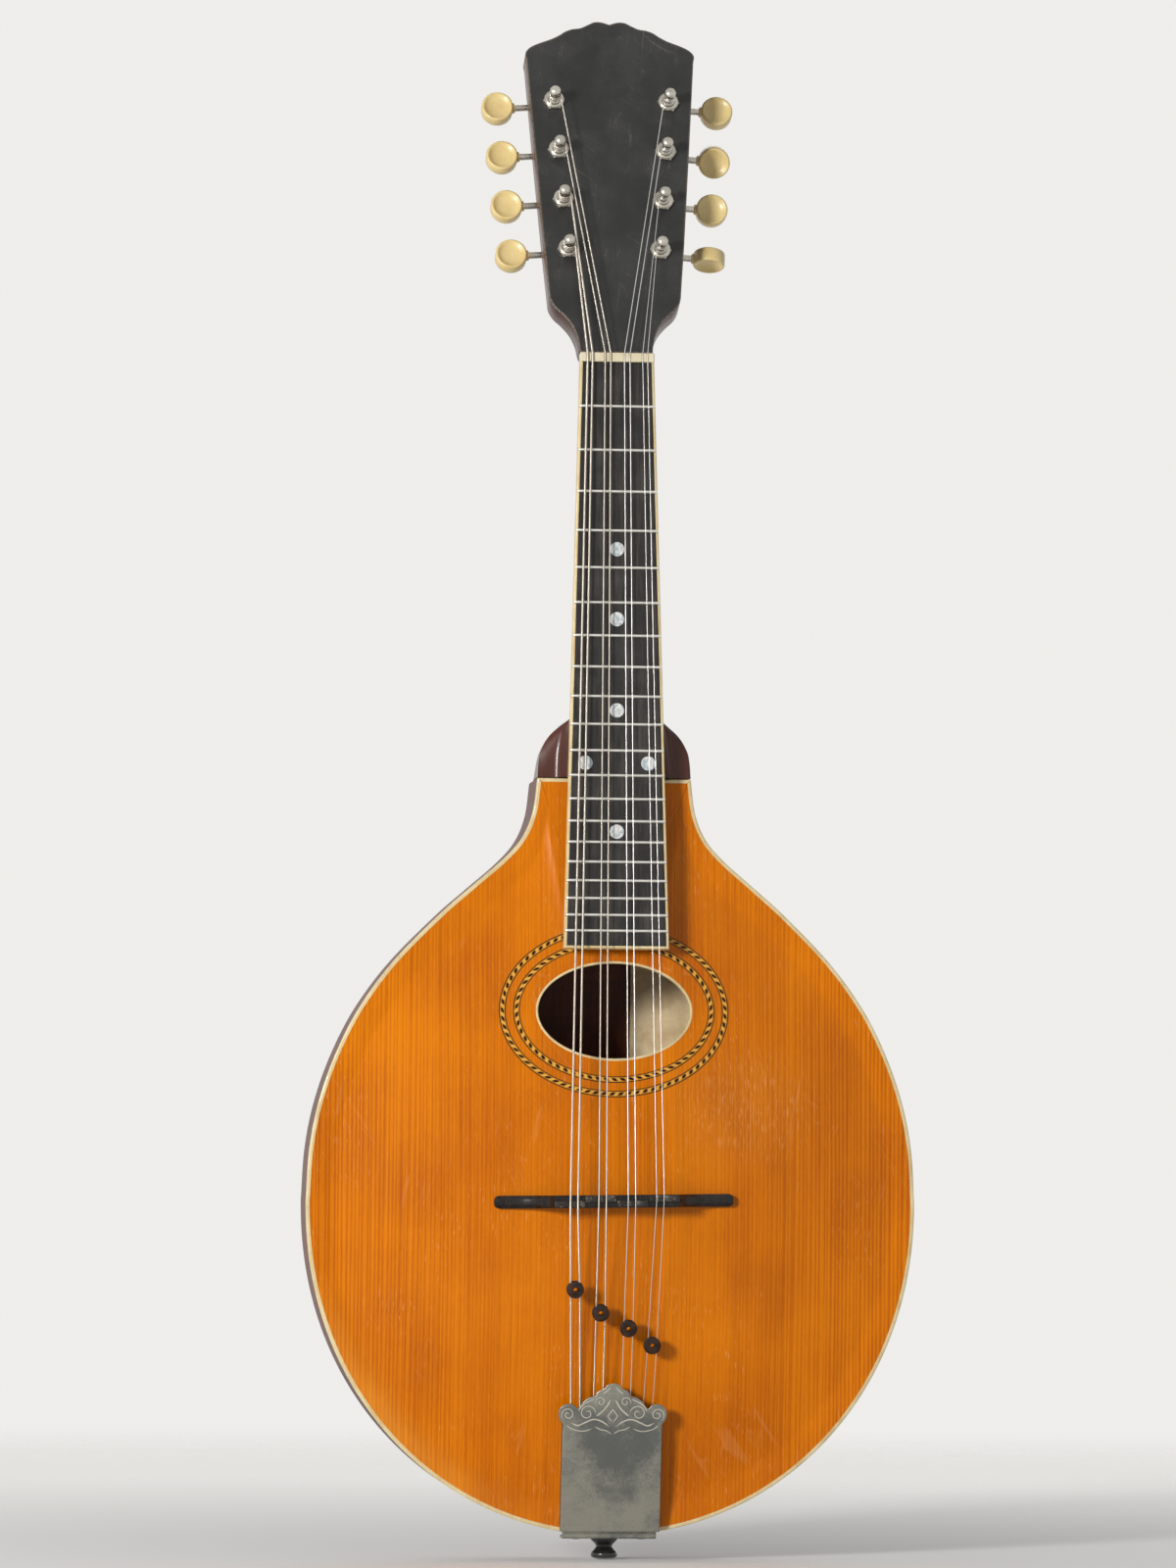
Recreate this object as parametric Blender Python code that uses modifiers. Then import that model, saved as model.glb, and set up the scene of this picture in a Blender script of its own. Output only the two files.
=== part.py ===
"""A carved, pear-shaped, oval-hole mandolin: eight strings on worm-geared tuning machines.

Every piece is drawn in one of a few working frames. In each frame x runs across the
instrument towards the treble side, the second axis runs up towards the crest of the
headstock, and the third axis stands out towards the player's view of the front.
"""
import math

import bmesh
import bpy
from mathutils import Matrix, Vector

MM = 0.001

# Fit between neighbouring pieces
SEAT = 0.30 * MM            # gap between glued or resting pieces
FIT = 0.12 * MM             # gap where one piece is inlaid in another
RUNNING = 0.08 * MM         # radial clearance of a shaft in its bearing

# Whole instrument
SCALE_LENGTH = 352.4 * MM
NUT_LINE = Vector((0.0, 1.05 * MM, 487.7 * MM))
NECK_PITCH = math.radians(3.95)
HEAD_PITCH = math.radians(13.4)
HEAD_ROOT = Vector((0.0, 4.05 * MM, 489.7 * MM))
HANGER = Vector((0.0, 18.0 * MM, 510.0 * MM))

# Body outline
TAIL_Z = -4.5 * MM
WIDEST_Z = 134.0 * MM
WIDEST_HALF = 127.6 * MM
LOWER_FULLNESS = 2.1
BODY_TOP_Z = 311.2 * MM
NECK_END_HALF = 32.2 * MM
# The upper flank, as shares of the way up from the widest place and out from the neck's width
UPPER_BOUT = ((0.1208, 0.9864), (0.2314, 0.9476), (0.3426, 0.8774), (0.4537, 0.7746),
              (0.5649, 0.6247), (0.6761, 0.4245), (0.7449, 0.2809), (0.8070, 0.1488),
              (0.8578, 0.0671), (0.9199, 0.0199))

# Body thicknesses, all measured back from the front edge
PLATE = 3.0 * MM
TOP_ARCH = 13.0 * MM
BACK_ARCH = 12.0 * MM
RECURVE_DIP = 0.3 * MM
RECURVE_AT = 0.93
ARCH_FULLNESS = 0.55
ARCH_UPPER = 152.0 * MM
ARCH_OVAL = 0.85
ARCH_EASE = 0.5
BODY_DEPTH = 46.3 * MM
RIB_THICK = 2.2 * MM
BINDING_WIDE = 1.6 * MM
LINING_WIDE = 5.0 * MM
LINING_DEEP = 8.0 * MM
TOP_RINGS = (1.0, 0.965, 0.93, 0.83, 0.68, 0.50, 0.28)
BACK_RINGS = (1.0, 0.93, 0.80, 0.58, 0.30)
NECK_BLOCK_LONG = 26.0 * MM
TAIL_BLOCK_LONG = 17.0 * MM
TAIL_BLOCK_HALF = 32.0 * MM
BRACE_Z = 181.0 * MM
BRACE_HALF = 84.0 * MM
BRACE_WIDE = 7.0 * MM
BRACE_DEEP = 10.0 * MM

# Oval soundhole
HOLE_Z = 213.7 * MM
HOLE_HALF_X = 32.8 * MM
HOLE_HALF_Z = 20.85 * MM
HOLE_RING = 1.0 * MM
HOLE_RING_DEEP = 3.6 * MM

# Fingerboard, nut and frets
BOARD_THICK = 5.0 * MM
BOARD_NUT_HALF = 15.6 * MM
BOARD_END_HALF = 22.0 * MM
BOARD_BINDING = 1.5 * MM
FRET_COUNT = 20
BOARD_PAST_FRETS = 7.4 * MM
BOARD_LONG = SCALE_LENGTH * (1 - 2 ** (-FRET_COUNT / 12)) + BOARD_PAST_FRETS
FRET_WIDE = 1.3 * MM
FRET_CROWN = 0.9 * MM
NUT_FRONT = -0.9 * MM
NUT_THICK = 3.8 * MM
NUT_TOP = 1.4 * MM
RISER_HALF_NARROW = 18.2 * MM
RISER_HALF_WIDE = 19.6 * MM
RISER_SHORT = 7.5 * MM         # how far the riser stops short of the board's end

# Neck and headstock; each neck station is height, half width, back and roundness
NECK_STATIONS = ((311.6, 32.2, 0.1 - BODY_DEPTH / MM, 0.28), (316.0, 32.0, -42.0, 0.34),
                 (321.0, 31.4, -37.5, 0.42), (325.5, 29.6, -33.8, 0.50),
                 (329.5, 26.9, -30.6, 0.58), (333.0, 23.2, -27.8, 0.65),
                 (337.0, 18.75, -25.6, 0.72), (350.0, 18.4, -22.4, 0.72),
                 (380.0, 17.7, -20.6, 0.72), (430.0, 16.6, -20.6, 0.72),
                 (472.0, 15.8, -20.9, 0.72), (487.0, 15.5, -21.3, 0.72),
                 (497.0, 15.4, -21.6, 0.72))
HEAD_THICK = 14.0 * MM
HEAD_DIP = 2.6 * MM         # how far the neck's flat sinks inside the headstock
VENEER_THICK = 1.0 * MM
HEAD_OUTLINE = ((15.4, 1.6), (15.6, 4.5), (16.6, 9.5), (18.8, 14.5), (22.2, 18.8), (25.6, 22.2),
                (27.6, 26.0), (28.1, 30.5), (29.8, 51.0), (33.1, 97.0), (35.9, 138.5),
                (36.3, 140.8), (35.6, 142.6), (33.5, 144.5), (29.8, 146.3), (25.0, 148.2),
                (21.4, 150.2), (19.0, 151.9), (16.0, 153.1), (12.5, 153.7), (9.2, 155.3),
                (6.6, 156.6), (3.6, 156.7), (0.0, 155.6))

# Tuning machines
POST_TOP_S = 118.6 * MM
POST_STEP = 23.15 * MM
POST_TOP_X = 24.5 * MM
POST_LOW_X = 19.6 * MM
MODULE = 0.60 * MM
GEAR_TEETH = 14
GEAR_THICK = 3.0 * MM
WORM_PITCH_R = 2.3 * MM
WORM_TURNS = 3
WORM_FACETS = 8
SHAFT_R = 1.45 * MM
WORM_DEPTH = 18.7 * MM
POST_R = 2.6 * MM
POST_TIP = 11.7 * MM
WAIST_R = 1.8 * MM
WAIST_N = 6.0 * MM
TUNER_PLATE_THICK = 1.0 * MM
TUNER_PLATE_HALF = 5.6 * MM
LUG_THICK = 1.1 * MM
LUG_HALF = 2.7 * MM
BUTTON_REACH = 22.4 * MM
BUTTON_R = 6.8 * MM
BUTTON_RIM = 6.2 * MM
BUTTON_WAIST = 3.2 * MM
BUTTON_SOCKET = 5.0 * MM
BUTTON_TURNS = {"treble": (0.0, 38.0, 12.0, 88.0), "bass": (0.0, 0.0, 4.0, 0.0)}

# Bridge
BRIDGE_SETBACK = 1.63 * MM     # how far behind the scale length the saddle's middle stands
BRIDGE_Z = NUT_LINE.z - SCALE_LENGTH * math.cos(NECK_PITCH) - BRIDGE_SETBACK
BRIDGE_SLANT = math.radians(0.9)
BRIDGE_HALF = 50.0 * MM
BRIDGE_TIP = 12.4 * MM         # height of the wings' ends
BRIDGE_LEVEL = 25.4 * MM       # height of the body that carries the saddle
# The scooped wing, as shares of the way out from the saddle's end and up from the tip
BRIDGE_WING = ((0.0, 1.0), (0.083, 0.769), (0.229, 0.492), (0.458, 0.277), (0.75, 0.138),
               (0.967, 0.077), (1.0, 0.0))
BRIDGE_THICK = 5.3 * MM
SADDLE_HALF = 26.0 * MM
SADDLE_THICK = 2.6 * MM
SADDLE_TOP = 27.0 * MM
SADDLE_STAGGER = 1.1 * MM

# Tailpiece, cover and end pin
TAIL_PLATE_THICK = 1.0 * MM
TAIL_PLATE_HALF = 19.65 * MM
TAIL_PLATE_TOP_Z = 46.0 * MM
TAIL_PLATE_RISE = 6.05 * MM
HOOK_Z = 27.0 * MM
HOOK_R = 0.95 * MM
HOOK_STAGGER = 2.7 * MM
HOOK_ABOVE = 0.7 * MM
HOOK_LEVEL = 8.35 * MM
APRON_DEEP = 30.0 * MM
COVER_LOW_Z = -2.6 * MM
COVER_LOW_N = 4.35 * MM
COVER_SLOPE = math.atan(0.178)
COVER_THICK = 0.9 * MM
COVER_FLANGE = 0.8 * MM
COVER_HALF = 20.7 * MM
COVER_OUTLINE = ((20.7, 0.0), (20.7, 41.7), (20.4, 44.8), (22.0, 47.2), (22.6, 50.0),
                 (21.6, 52.6), (19.1, 54.0), (16.3, 53.6), (14.5, 52.2), (12.3, 55.0),
                 (9.8, 56.8), (7.3, 57.5), (6.9, 58.6), (5.6, 59.8), (3.6, 60.6),
                 (2.6, 62.0), (0.0, 62.9))
END_PIN_N = -21.7 * MM
END_PIN_HEAD_R = 5.6 * MM
END_PIN_SHANK_R = 3.2 * MM
END_PIN_OUT = 9.0 * MM
END_PIN_IN = 12.0 * MM

# Strings: radius, then the distance from the centre line at tailpiece, saddle and nut, and
# how far up from the hooks to the bridge the grommet sits
COURSES = (
    ("g", -1, 0.475 * MM, (16.15 * MM, 12.45 * MM), (19.45 * MM, 16.35 * MM),
     (12.7 * MM, 10.6 * MM), 0.66),
    ("d", -1, 0.325 * MM, (7.5 * MM, 3.65 * MM), (7.65 * MM, 4.55 * MM),
     (5.25 * MM, 2.9 * MM), 0.571),
    ("a", 1, 0.19 * MM, (3.65 * MM, 7.5 * MM), (4.55 * MM, 7.65 * MM),
     (2.9 * MM, 5.25 * MM), 0.511),
    ("e", 1, 0.14 * MM, (12.45 * MM, 16.15 * MM), (16.35 * MM, 19.45 * MM),
     (10.6 * MM, 12.7 * MM), 0.446),
)
STRING_REST = 0.12 * MM
STRING_SIDES = 1
STRING_PART = 0.44 * MM       # least gap between turns or runs of one string
WRAPS = 2
WRAP_FACETS = 7
GROMMET_R = 3.6 * MM
GROMMET_THICK = 3.4 * MM
GROMMET_HOLE_R = 0.9 * MM
GROMMET_SPREAD = 1.9 * MM

# Colour, roughness and metallic of each finish
FINISHES = {
    "top_spruce": ((0.62, 0.25, 0.05), 0.32, 0.0),
    "inner_spruce": ((0.66, 0.48, 0.27), 0.7, 0.0),
    "body_maple": ((0.16, 0.045, 0.02), 0.3, 0.0),
    "neck_mahogany": ((0.13, 0.04, 0.02), 0.3, 0.0),
    "head_black": ((0.02, 0.02, 0.02), 0.35, 0.0),
    "board_ebony": ((0.025, 0.022, 0.02), 0.4, 0.0),
    "bridge_ebony": ((0.022, 0.018, 0.016), 0.35, 0.0),
    "binding_ivory": ((0.78, 0.66, 0.40), 0.4, 0.0),
    "nut_bone": ((0.80, 0.74, 0.60), 0.45, 0.0),
    "button_cream": ((0.80, 0.66, 0.38), 0.4, 0.0),
    "tuner_nickel": ((0.62, 0.59, 0.53), 0.3, 1.0),
    "tuner_brass": ((0.60, 0.44, 0.20), 0.35, 1.0),
    "tail_nickel": ((0.55, 0.54, 0.49), 0.32, 1.0),
    "string_steel": ((0.66, 0.65, 0.62), 0.3, 1.0),
    "string_bronze": ((0.62, 0.50, 0.36), 0.35, 1.0),
    "pin_black": ((0.02, 0.02, 0.02), 0.3, 0.0),
    "grommet_rubber": ((0.03, 0.025, 0.022), 0.6, 0.0),
}


def start_clean():
    for obj in list(bpy.data.objects):
        bpy.data.objects.remove(obj, do_unlink=True)
    parts = bpy.data.collections.new("mandolin")
    cutters = bpy.data.collections.new("cutters")
    for group in (parts, cutters):
        bpy.context.scene.collection.children.link(group)
    return parts, cutters


PARTS, CUTTERS = start_clean()


def empty(name, parent, location, rotation=(0.0, 0.0, 0.0)):
    obj = bpy.data.objects.new(name, None)
    obj.empty_display_size = 0.01
    obj.location = location
    obj.rotation_euler = rotation
    obj.parent = parent
    PARTS.objects.link(obj)
    return obj


ORIGIN = empty("hanging_point", None, (0.0, 0.0, 0.0))
HEAD_TILT = NECK_PITCH + HEAD_PITCH
BODY = empty("body_frame", ORIGIN, -HANGER, (math.pi / 2, 0, 0))
BOARD = empty("board_frame", ORIGIN, NUT_LINE - HANGER, (math.pi / 2 - NECK_PITCH, 0, 0))
HEAD = empty("head_frame", ORIGIN, HEAD_ROOT - HANGER, (math.pi / 2 - HEAD_TILT, 0, 0))
COVER = empty("cover_frame", BODY, (0.0, COVER_LOW_Z, COVER_LOW_N), (COVER_SLOPE, 0, 0))
BRIDGE = empty("bridge_frame", BODY, (0.0, BRIDGE_Z, 0.0), (0, 0, BRIDGE_SLANT))


def world_of(frame):
    """The frame's place, from the chain of parents."""
    local = Matrix.Translation(frame.location) @ frame.rotation_euler.to_matrix().to_4x4()
    return local if frame.parent is None else world_of(frame.parent) @ local


def to_body(frame, point):
    return world_of(BODY).inverted() @ (world_of(frame) @ Vector(point))


def finish_of(name):
    found = bpy.data.materials.get(name)
    if found is None:
        colour, roughness, metallic = FINISHES[name]
        found = bpy.data.materials.new(name)
        found.use_nodes = True
        shader = found.node_tree.nodes["Principled BSDF"]
        shader.inputs["Base Color"].default_value = (*colour, 1.0)
        shader.inputs["Roughness"].default_value = roughness
        shader.inputs["Metallic"].default_value = metallic
        found.diffuse_color = (*colour, 1.0)
    return found


def settle(obj, finish, frame, location=(0, 0, 0), rotation=(0, 0, 0), smooth=None):
    """Place a piece in its frame and give it a finish of its own; no finish marks a cutter."""
    obj.parent = frame
    obj.location = location
    obj.rotation_euler = rotation
    if finish is None:
        CUTTERS.objects.link(obj)
        obj.hide_render = True
        obj.display_type = "WIRE"
    else:
        PARTS.objects.link(obj)
        if not obj.data.materials:
            obj.data.materials.append(finish_of(finish))
    if smooth is not None:
        obj.data.shade_smooth()
        obj.data.set_sharp_from_angle(angle=math.radians(smooth))
    return obj


def tidy_mesh(mesh, weld=1e-6):
    work = bmesh.new()
    work.from_mesh(mesh)
    bmesh.ops.remove_doubles(work, verts=work.verts, dist=weld)
    bmesh.ops.recalc_face_normals(work, faces=work.faces)
    if work.calc_volume(signed=True) < 0:
        bmesh.ops.reverse_faces(work, faces=work.faces)
    work.to_mesh(mesh)
    work.free()
    return mesh


def mesh_from_curve(name, curve):
    """The solid of a curve, welded shut."""
    holder = bpy.data.objects.new(name + "_line", curve)
    bpy.context.scene.collection.objects.link(holder)
    bpy.context.view_layer.update()
    graph = bpy.context.evaluated_depsgraph_get()
    mesh = bpy.data.meshes.new_from_object(holder.evaluated_get(graph))
    bpy.data.objects.remove(holder, do_unlink=True)
    mesh.name = name
    return tidy_mesh(mesh)


def mesh_from_faces(name, points, faces):
    mesh = bpy.data.meshes.new(name)
    mesh.from_pydata([tuple(p) for p in points], [], faces)
    return tidy_mesh(mesh)


ACROSS = Matrix(((0, 0, 1, 0), (1, 0, 0, 0), (0, 1, 0, 0), (0, 0, 0, 1)))
ENDWISE = Matrix.Rotation(math.pi / 2, 4, "X")


def flat_mesh(name, loops, low, high, turn=None):
    """A flat outline, with any holes, given thickness from low to high."""
    curve = bpy.data.curves.new(name, "CURVE")
    curve.dimensions = "2D"
    curve.fill_mode = "BOTH"
    curve.extrude = (high - low) / 2
    for loop in loops:
        spline = curve.splines.new("POLY")
        spline.points.add(len(loop) - 1)
        for point, (x, y) in zip(spline.points, loop):
            point.co = (x, y, 0.0, 1.0)
        spline.use_cyclic_u = True
    mesh = mesh_from_curve(name, curve)
    mesh.transform(Matrix.Translation((0, 0, (low + high) / 2)))
    if turn is not None:
        mesh.transform(turn)
    return mesh


def flat_piece(name, loops, low, high, finish, frame, turn=None, **place):
    mesh = flat_mesh(name, loops, low, high, turn)
    return settle(bpy.data.objects.new(name, mesh), finish, frame, **place)


def box(name, low, high, finish, frame, **place):
    work = bmesh.new()
    bmesh.ops.create_cube(work, size=1.0)
    size = [b - a for a, b in zip(low, high)]
    middle = [(a + b) / 2 for a, b in zip(low, high)]
    bmesh.ops.scale(work, vec=size, verts=work.verts)
    bmesh.ops.translate(work, vec=middle, verts=work.verts)
    mesh = bpy.data.meshes.new(name)
    work.to_mesh(mesh)
    work.free()
    return settle(bpy.data.objects.new(name, mesh), finish, frame, **place)


def rod(name, radius, low, high, sides, finish, frame, **place):
    """A plain cylinder along the third axis; the radius is to the flats of its facets."""
    work = bmesh.new()
    outer = radius / math.cos(math.pi / sides)
    bmesh.ops.create_cone(work, cap_ends=True, segments=sides, radius1=outer, radius2=outer,
                          depth=high - low)
    bmesh.ops.translate(work, vec=(0, 0, (low + high) / 2), verts=work.verts)
    mesh = bpy.data.meshes.new(name)
    work.to_mesh(mesh)
    work.free()
    return settle(bpy.data.objects.new(name, mesh), finish, frame, **place)


def turned(name, profile, steps, finish, frame, ring=False, **place):
    """A lathe-turned piece: the profile runs down its outer side, and a ring's closes on itself."""
    mesh = bpy.data.meshes.new(name)
    edges = [(i, i + 1) for i in range(len(profile) - 1)]
    if ring:
        edges.append((len(profile) - 1, 0))
    mesh.from_pydata([(r, 0.0, z) for r, z in profile], edges, [])
    obj = settle(bpy.data.objects.new(name, mesh), finish, frame, **place)
    screw = obj.modifiers.new("Turning", "SCREW")
    screw.steps = screw.render_steps = steps
    screw.use_merge_vertices = True
    screw.merge_threshold = 0.00001
    screw.use_smooth_shade = True
    return obj


def join_by(obj, other, operation):
    step = obj.modifiers.new(operation.title() + " " + other.name, "BOOLEAN")
    step.operation = operation
    step.solver = "EXACT"
    step.object = other
    return obj


def cut(obj, *cutters):
    for cutter in cutters:
        join_by(obj, cutter, "DIFFERENCE")
    return obj


def fuse(obj, *others):
    for other in others:
        join_by(obj, other, "UNION")
    return obj


def soften(obj, width, segments=1, angle=40.0):
    step = obj.modifiers.new("Edges", "BEVEL")
    step.width = width
    step.segments = segments
    step.limit_method = "ANGLE"
    step.angle_limit = math.radians(angle)
    return obj


def set_in_mesh(obj, name):
    """The finished shape of a piece as one plain mesh, for pieces that repeat."""
    bpy.context.view_layer.update()
    graph = bpy.context.evaluated_depsgraph_get()
    mesh = bpy.data.meshes.new_from_object(obj.evaluated_get(graph))
    mesh.name = name
    bpy.data.objects.remove(obj, do_unlink=True)
    return mesh


# Body outline and arching


def smooth_through(stations, count):
    """A smooth line through the stations, by Catmull-Rom, as evenly parted points."""
    pts = [Vector((*p, 0.0)) for p in stations]
    pts = [2 * pts[0] - pts[1]] + pts + [2 * pts[-1] - pts[-2]]
    spans = len(pts) - 3
    line = []
    for k in range(count + 1):
        t = min(k * spans / count, spans - 1e-9)
        i, f = int(t), t - int(t)
        a, b, c, d = pts[i:i + 4]
        p = 0.5 * ((2 * b) + (c - a) * f + (2 * a - 5 * b + 4 * c - d) * f * f
                   + (3 * b - a - 3 * c + d) * f ** 3)
        line.append((p.x, p.y))
    return line


def half_outline():
    """Half of the body's edge, from the tail on the centre line to the corner at the neck."""
    lower = []
    for k in range(10):
        angle = math.pi / 2 * k / 10
        x = WIDEST_HALF * math.sin(angle)
        lift = (1 - (x / WIDEST_HALF) ** 2) ** (1 / LOWER_FULLNESS)
        lower.append((x, WIDEST_Z - (WIDEST_Z - TAIL_Z) * lift))
    tall, wide = BODY_TOP_Z - WIDEST_Z, WIDEST_HALF - NECK_END_HALF
    stations = [(NECK_END_HALF + out * wide, WIDEST_Z + up * tall)
                for up, out in ((0, 1), *UPPER_BOUT, (1, 0))]
    return lower + smooth_through(stations, 12)


def inset(points, distance, closed=True):
    """The line moved inwards, to the left of its travel, by a distance."""
    n = len(points)
    moved = []
    for i, (x, z) in enumerate(points):
        before = points[i - 1] if closed or i else None
        after = points[(i + 1) % n] if closed or i < n - 1 else None
        normals = []
        for a, b in ((before, (x, z)), ((x, z), after)):
            if a is not None and b is not None:
                step = Vector((b[0] - a[0], b[1] - a[1])).normalized()
                normals.append(Vector((-step.y, step.x)))
        mean = sum(normals, Vector((0.0, 0.0))).normalized()
        reach = distance / max(mean.dot(normals[0]), 0.5)
        moved.append((x + mean.x * reach, z + mean.y * reach))
    return moved


HALF = half_outline()
OUTLINE = HALF + [(-x, z) for x, z in reversed(HALF[1:])]


def ring_line(distance):
    return inset(OUTLINE, distance)


CENTRE = Vector((0.0, WIDEST_Z))


def ray_length(line, ray):
    """How far the edge line stands from the centre along a direction."""
    for i, first in enumerate(line):
        a = Vector(first) - CENTRE
        side = Vector(line[(i + 1) % len(line)]) - CENTRE - a
        det = ray.x * -side.y + side.x * ray.y
        if abs(det) < 1e-15:
            continue
        t = (a.x * -side.y + side.x * a.y) / det
        s = (ray.x * a.y - ray.y * a.x) / det
        if t > 0 and -1e-9 <= s <= 1 + 1e-9:
            return t
    return WIDEST_HALF


def contour_radius(edge, ray, reach):
    """Radius of a height contour: the edge line far out, a fuller oval nearer the middle."""
    tall = (ARCH_UPPER if ray.y > 0 else WIDEST_Z - TAIL_Z)
    oval_radius = 1 / math.sqrt((ray.x / WIDEST_HALF) ** 2 + (ray.y / tall) ** 2)
    t = max(0.0, min(1.0, (1 - reach) / ARCH_EASE))
    share = ARCH_OVAL * t * t * (3 - 2 * t)
    return edge * (1 - share) + oval_radius * share


def reach_of(line, x, z):
    """Where a point lies between the centre of the arch, 0, and the edge line, 1."""
    ray = Vector((x, z)) - CENTRE
    length = ray.length
    if length < 1e-9:
        return 0.0
    ray.normalize()
    edge = ray_length(line, ray)
    reach = length / edge
    for _ in range(20):
        reach = length / contour_radius(edge, ray, reach)
    return reach


def arch_height(reach, arch):
    """Height of a carved plate: level at its edge, a shallow recurve, then the dome."""
    if reach >= RECURVE_AT:
        if reach >= 0.965:
            return 0.0
        return -RECURVE_DIP * (0.965 - reach) / (0.965 - RECURVE_AT)
    dome = (0.5 + 0.5 * math.cos(math.pi * reach / RECURVE_AT)) ** ARCH_FULLNESS
    return -RECURVE_DIP + (arch + RECURVE_DIP) * dome


TOP_LINE = ring_line(BINDING_WIDE + FIT)


def front_at(x, z):
    return arch_height(reach_of(TOP_LINE, x, z), TOP_ARCH)


def carved_surface(name, line, rings, arch, lift, facing):
    """Rings of points drawn in from the edge line, each at the height of the arch."""
    points, faces = [], []
    n = len(line)
    for reach in rings:
        height = lift + facing * arch_height(reach, arch)
        for p in line:
            ray = Vector(p) - CENTRE
            edge = ray.length
            ray.normalize()
            flat = CENTRE + ray * reach * contour_radius(edge, ray, reach)
            points.append((flat.x, flat.y, height))
    points.append((CENTRE.x, CENTRE.y, lift + facing * arch_height(0.0, arch)))
    for k in range(len(rings) - 1):
        for i in range(n):
            j = (i + 1) % n
            quad = (k * n + i, k * n + j, (k + 1) * n + j, (k + 1) * n + i)
            faces.append(quad if facing > 0 else quad[::-1])
    last = (len(rings) - 1) * n
    for i in range(n):
        tri = (last + i, last + (i + 1) % n, len(points) - 1)
        faces.append(tri if facing > 0 else tri[::-1])
    mesh = bpy.data.meshes.new(name)
    mesh.from_pydata(points, [], faces)
    return mesh


def carved_plate(name, line, rings, arch, lift, facing, finish):
    mesh = carved_surface(name, line, rings, arch, lift, facing)
    obj = settle(bpy.data.objects.new(name, mesh), finish, BODY, smooth=50)
    shell = obj.modifiers.new("Thickness", "SOLIDIFY")
    shell.thickness = PLATE
    shell.offset = -1.0
    shell.use_rim = True
    return obj


def oval(half_x, half_z, count=28):
    return [(half_x * math.cos(2 * math.pi * k / count),
             HOLE_Z + half_z * math.sin(2 * math.pi * k / count)) for k in range(count)]


def front_seat():
    """The space that the top takes up, grown by the seat gap, for fitting what rests on it."""
    mesh = carved_surface("front_seat", TOP_LINE, TOP_RINGS, TOP_ARCH, SEAT, 1)
    n = len(TOP_LINE)
    work = bmesh.new()
    work.from_mesh(mesh)
    work.verts.ensure_lookup_table()
    edge = work.verts[:n]
    floor = [work.verts.new((v.co.x, v.co.y, -20 * MM)) for v in edge]
    for i in range(n):
        j = (i + 1) % n
        work.faces.new((edge[j], edge[i], floor[i], floor[j]))
    work.faces.new(floor[::-1])
    bmesh.ops.recalc_face_normals(work, faces=work.faces)
    work.to_mesh(mesh)
    work.free()
    return settle(bpy.data.objects.new("front_seat", mesh), None, BODY)


def body_shell():
    top = carved_plate("top", TOP_LINE, TOP_RINGS, TOP_ARCH, 0.0, 1, "top_spruce")
    mouth = oval(HOLE_HALF_X + FIT, HOLE_HALF_Z + FIT)
    cut(top, flat_piece("hole_cutter", [mouth], -10 * MM, 30 * MM, None, BODY))
    carved_plate("back", ring_line(0.0), BACK_RINGS, BACK_ARCH, -BODY_DEPTH, -1, "body_maple")
    flat_piece("top_binding", [OUTLINE, ring_line(BINDING_WIDE)], -PLATE, 0.0,
               "binding_ivory", BODY)
    soundhole_ring()
    ribs()
    inner_frame()


def soundhole_ring():
    """An oval hoop lining the soundhole; its edge follows the arch of the top."""
    outer = oval(HOLE_HALF_X, HOLE_HALF_Z)
    inner = oval(HOLE_HALF_X - HOLE_RING, HOLE_HALF_Z - HOLE_RING)
    n = len(outer)
    points = []
    for line, drop in ((outer, 0.0), (inner, 0.0), (inner, HOLE_RING_DEEP), (outer, HOLE_RING_DEEP)):
        for (x, z), (sx, sz) in zip(line, outer):
            points.append((x, z, front_at(sx, sz) + 0.1 * MM - drop))
    faces = []
    for k in range(4):
        for i in range(n):
            j = (i + 1) % n
            m = (k + 1) % 4
            faces.append((k * n + i, k * n + j, m * n + j, m * n + i))
    mesh = mesh_from_faces("soundhole_binding", points, faces)
    settle(bpy.data.objects.new("soundhole_binding", mesh), "binding_ivory", BODY, smooth=40)


def pin_hole():
    found = bpy.data.objects.get("pin_hole")
    if found is None:
        found = rod("pin_hole", END_PIN_SHANK_R + FIT, -30 * MM, 30 * MM, 12, None, BODY,
                    location=(0.0, TAIL_Z, END_PIN_N), rotation=(math.pi / 2, 0, 0))
    return found


def ribs():
    """The two bent sides, meeting on the centre line at the tail."""
    half = [(0.1 * MM, TAIL_Z)] + HALF[1:]
    for name, hand in (("rib_treble", 1), ("rib_bass", -1)):
        line = half + inset(half, RIB_THICK, closed=False)[::-1]
        line[-1] = (0.1 * MM, TAIL_Z + RIB_THICK)
        strip = [(hand * x, z) for x, z in line]
        rib = flat_piece(name, [strip], -BODY_DEPTH + PLATE + SEAT, -PLATE - SEAT,
                         "body_maple", BODY, smooth=40)
        cut(rib, pin_hole())


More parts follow.
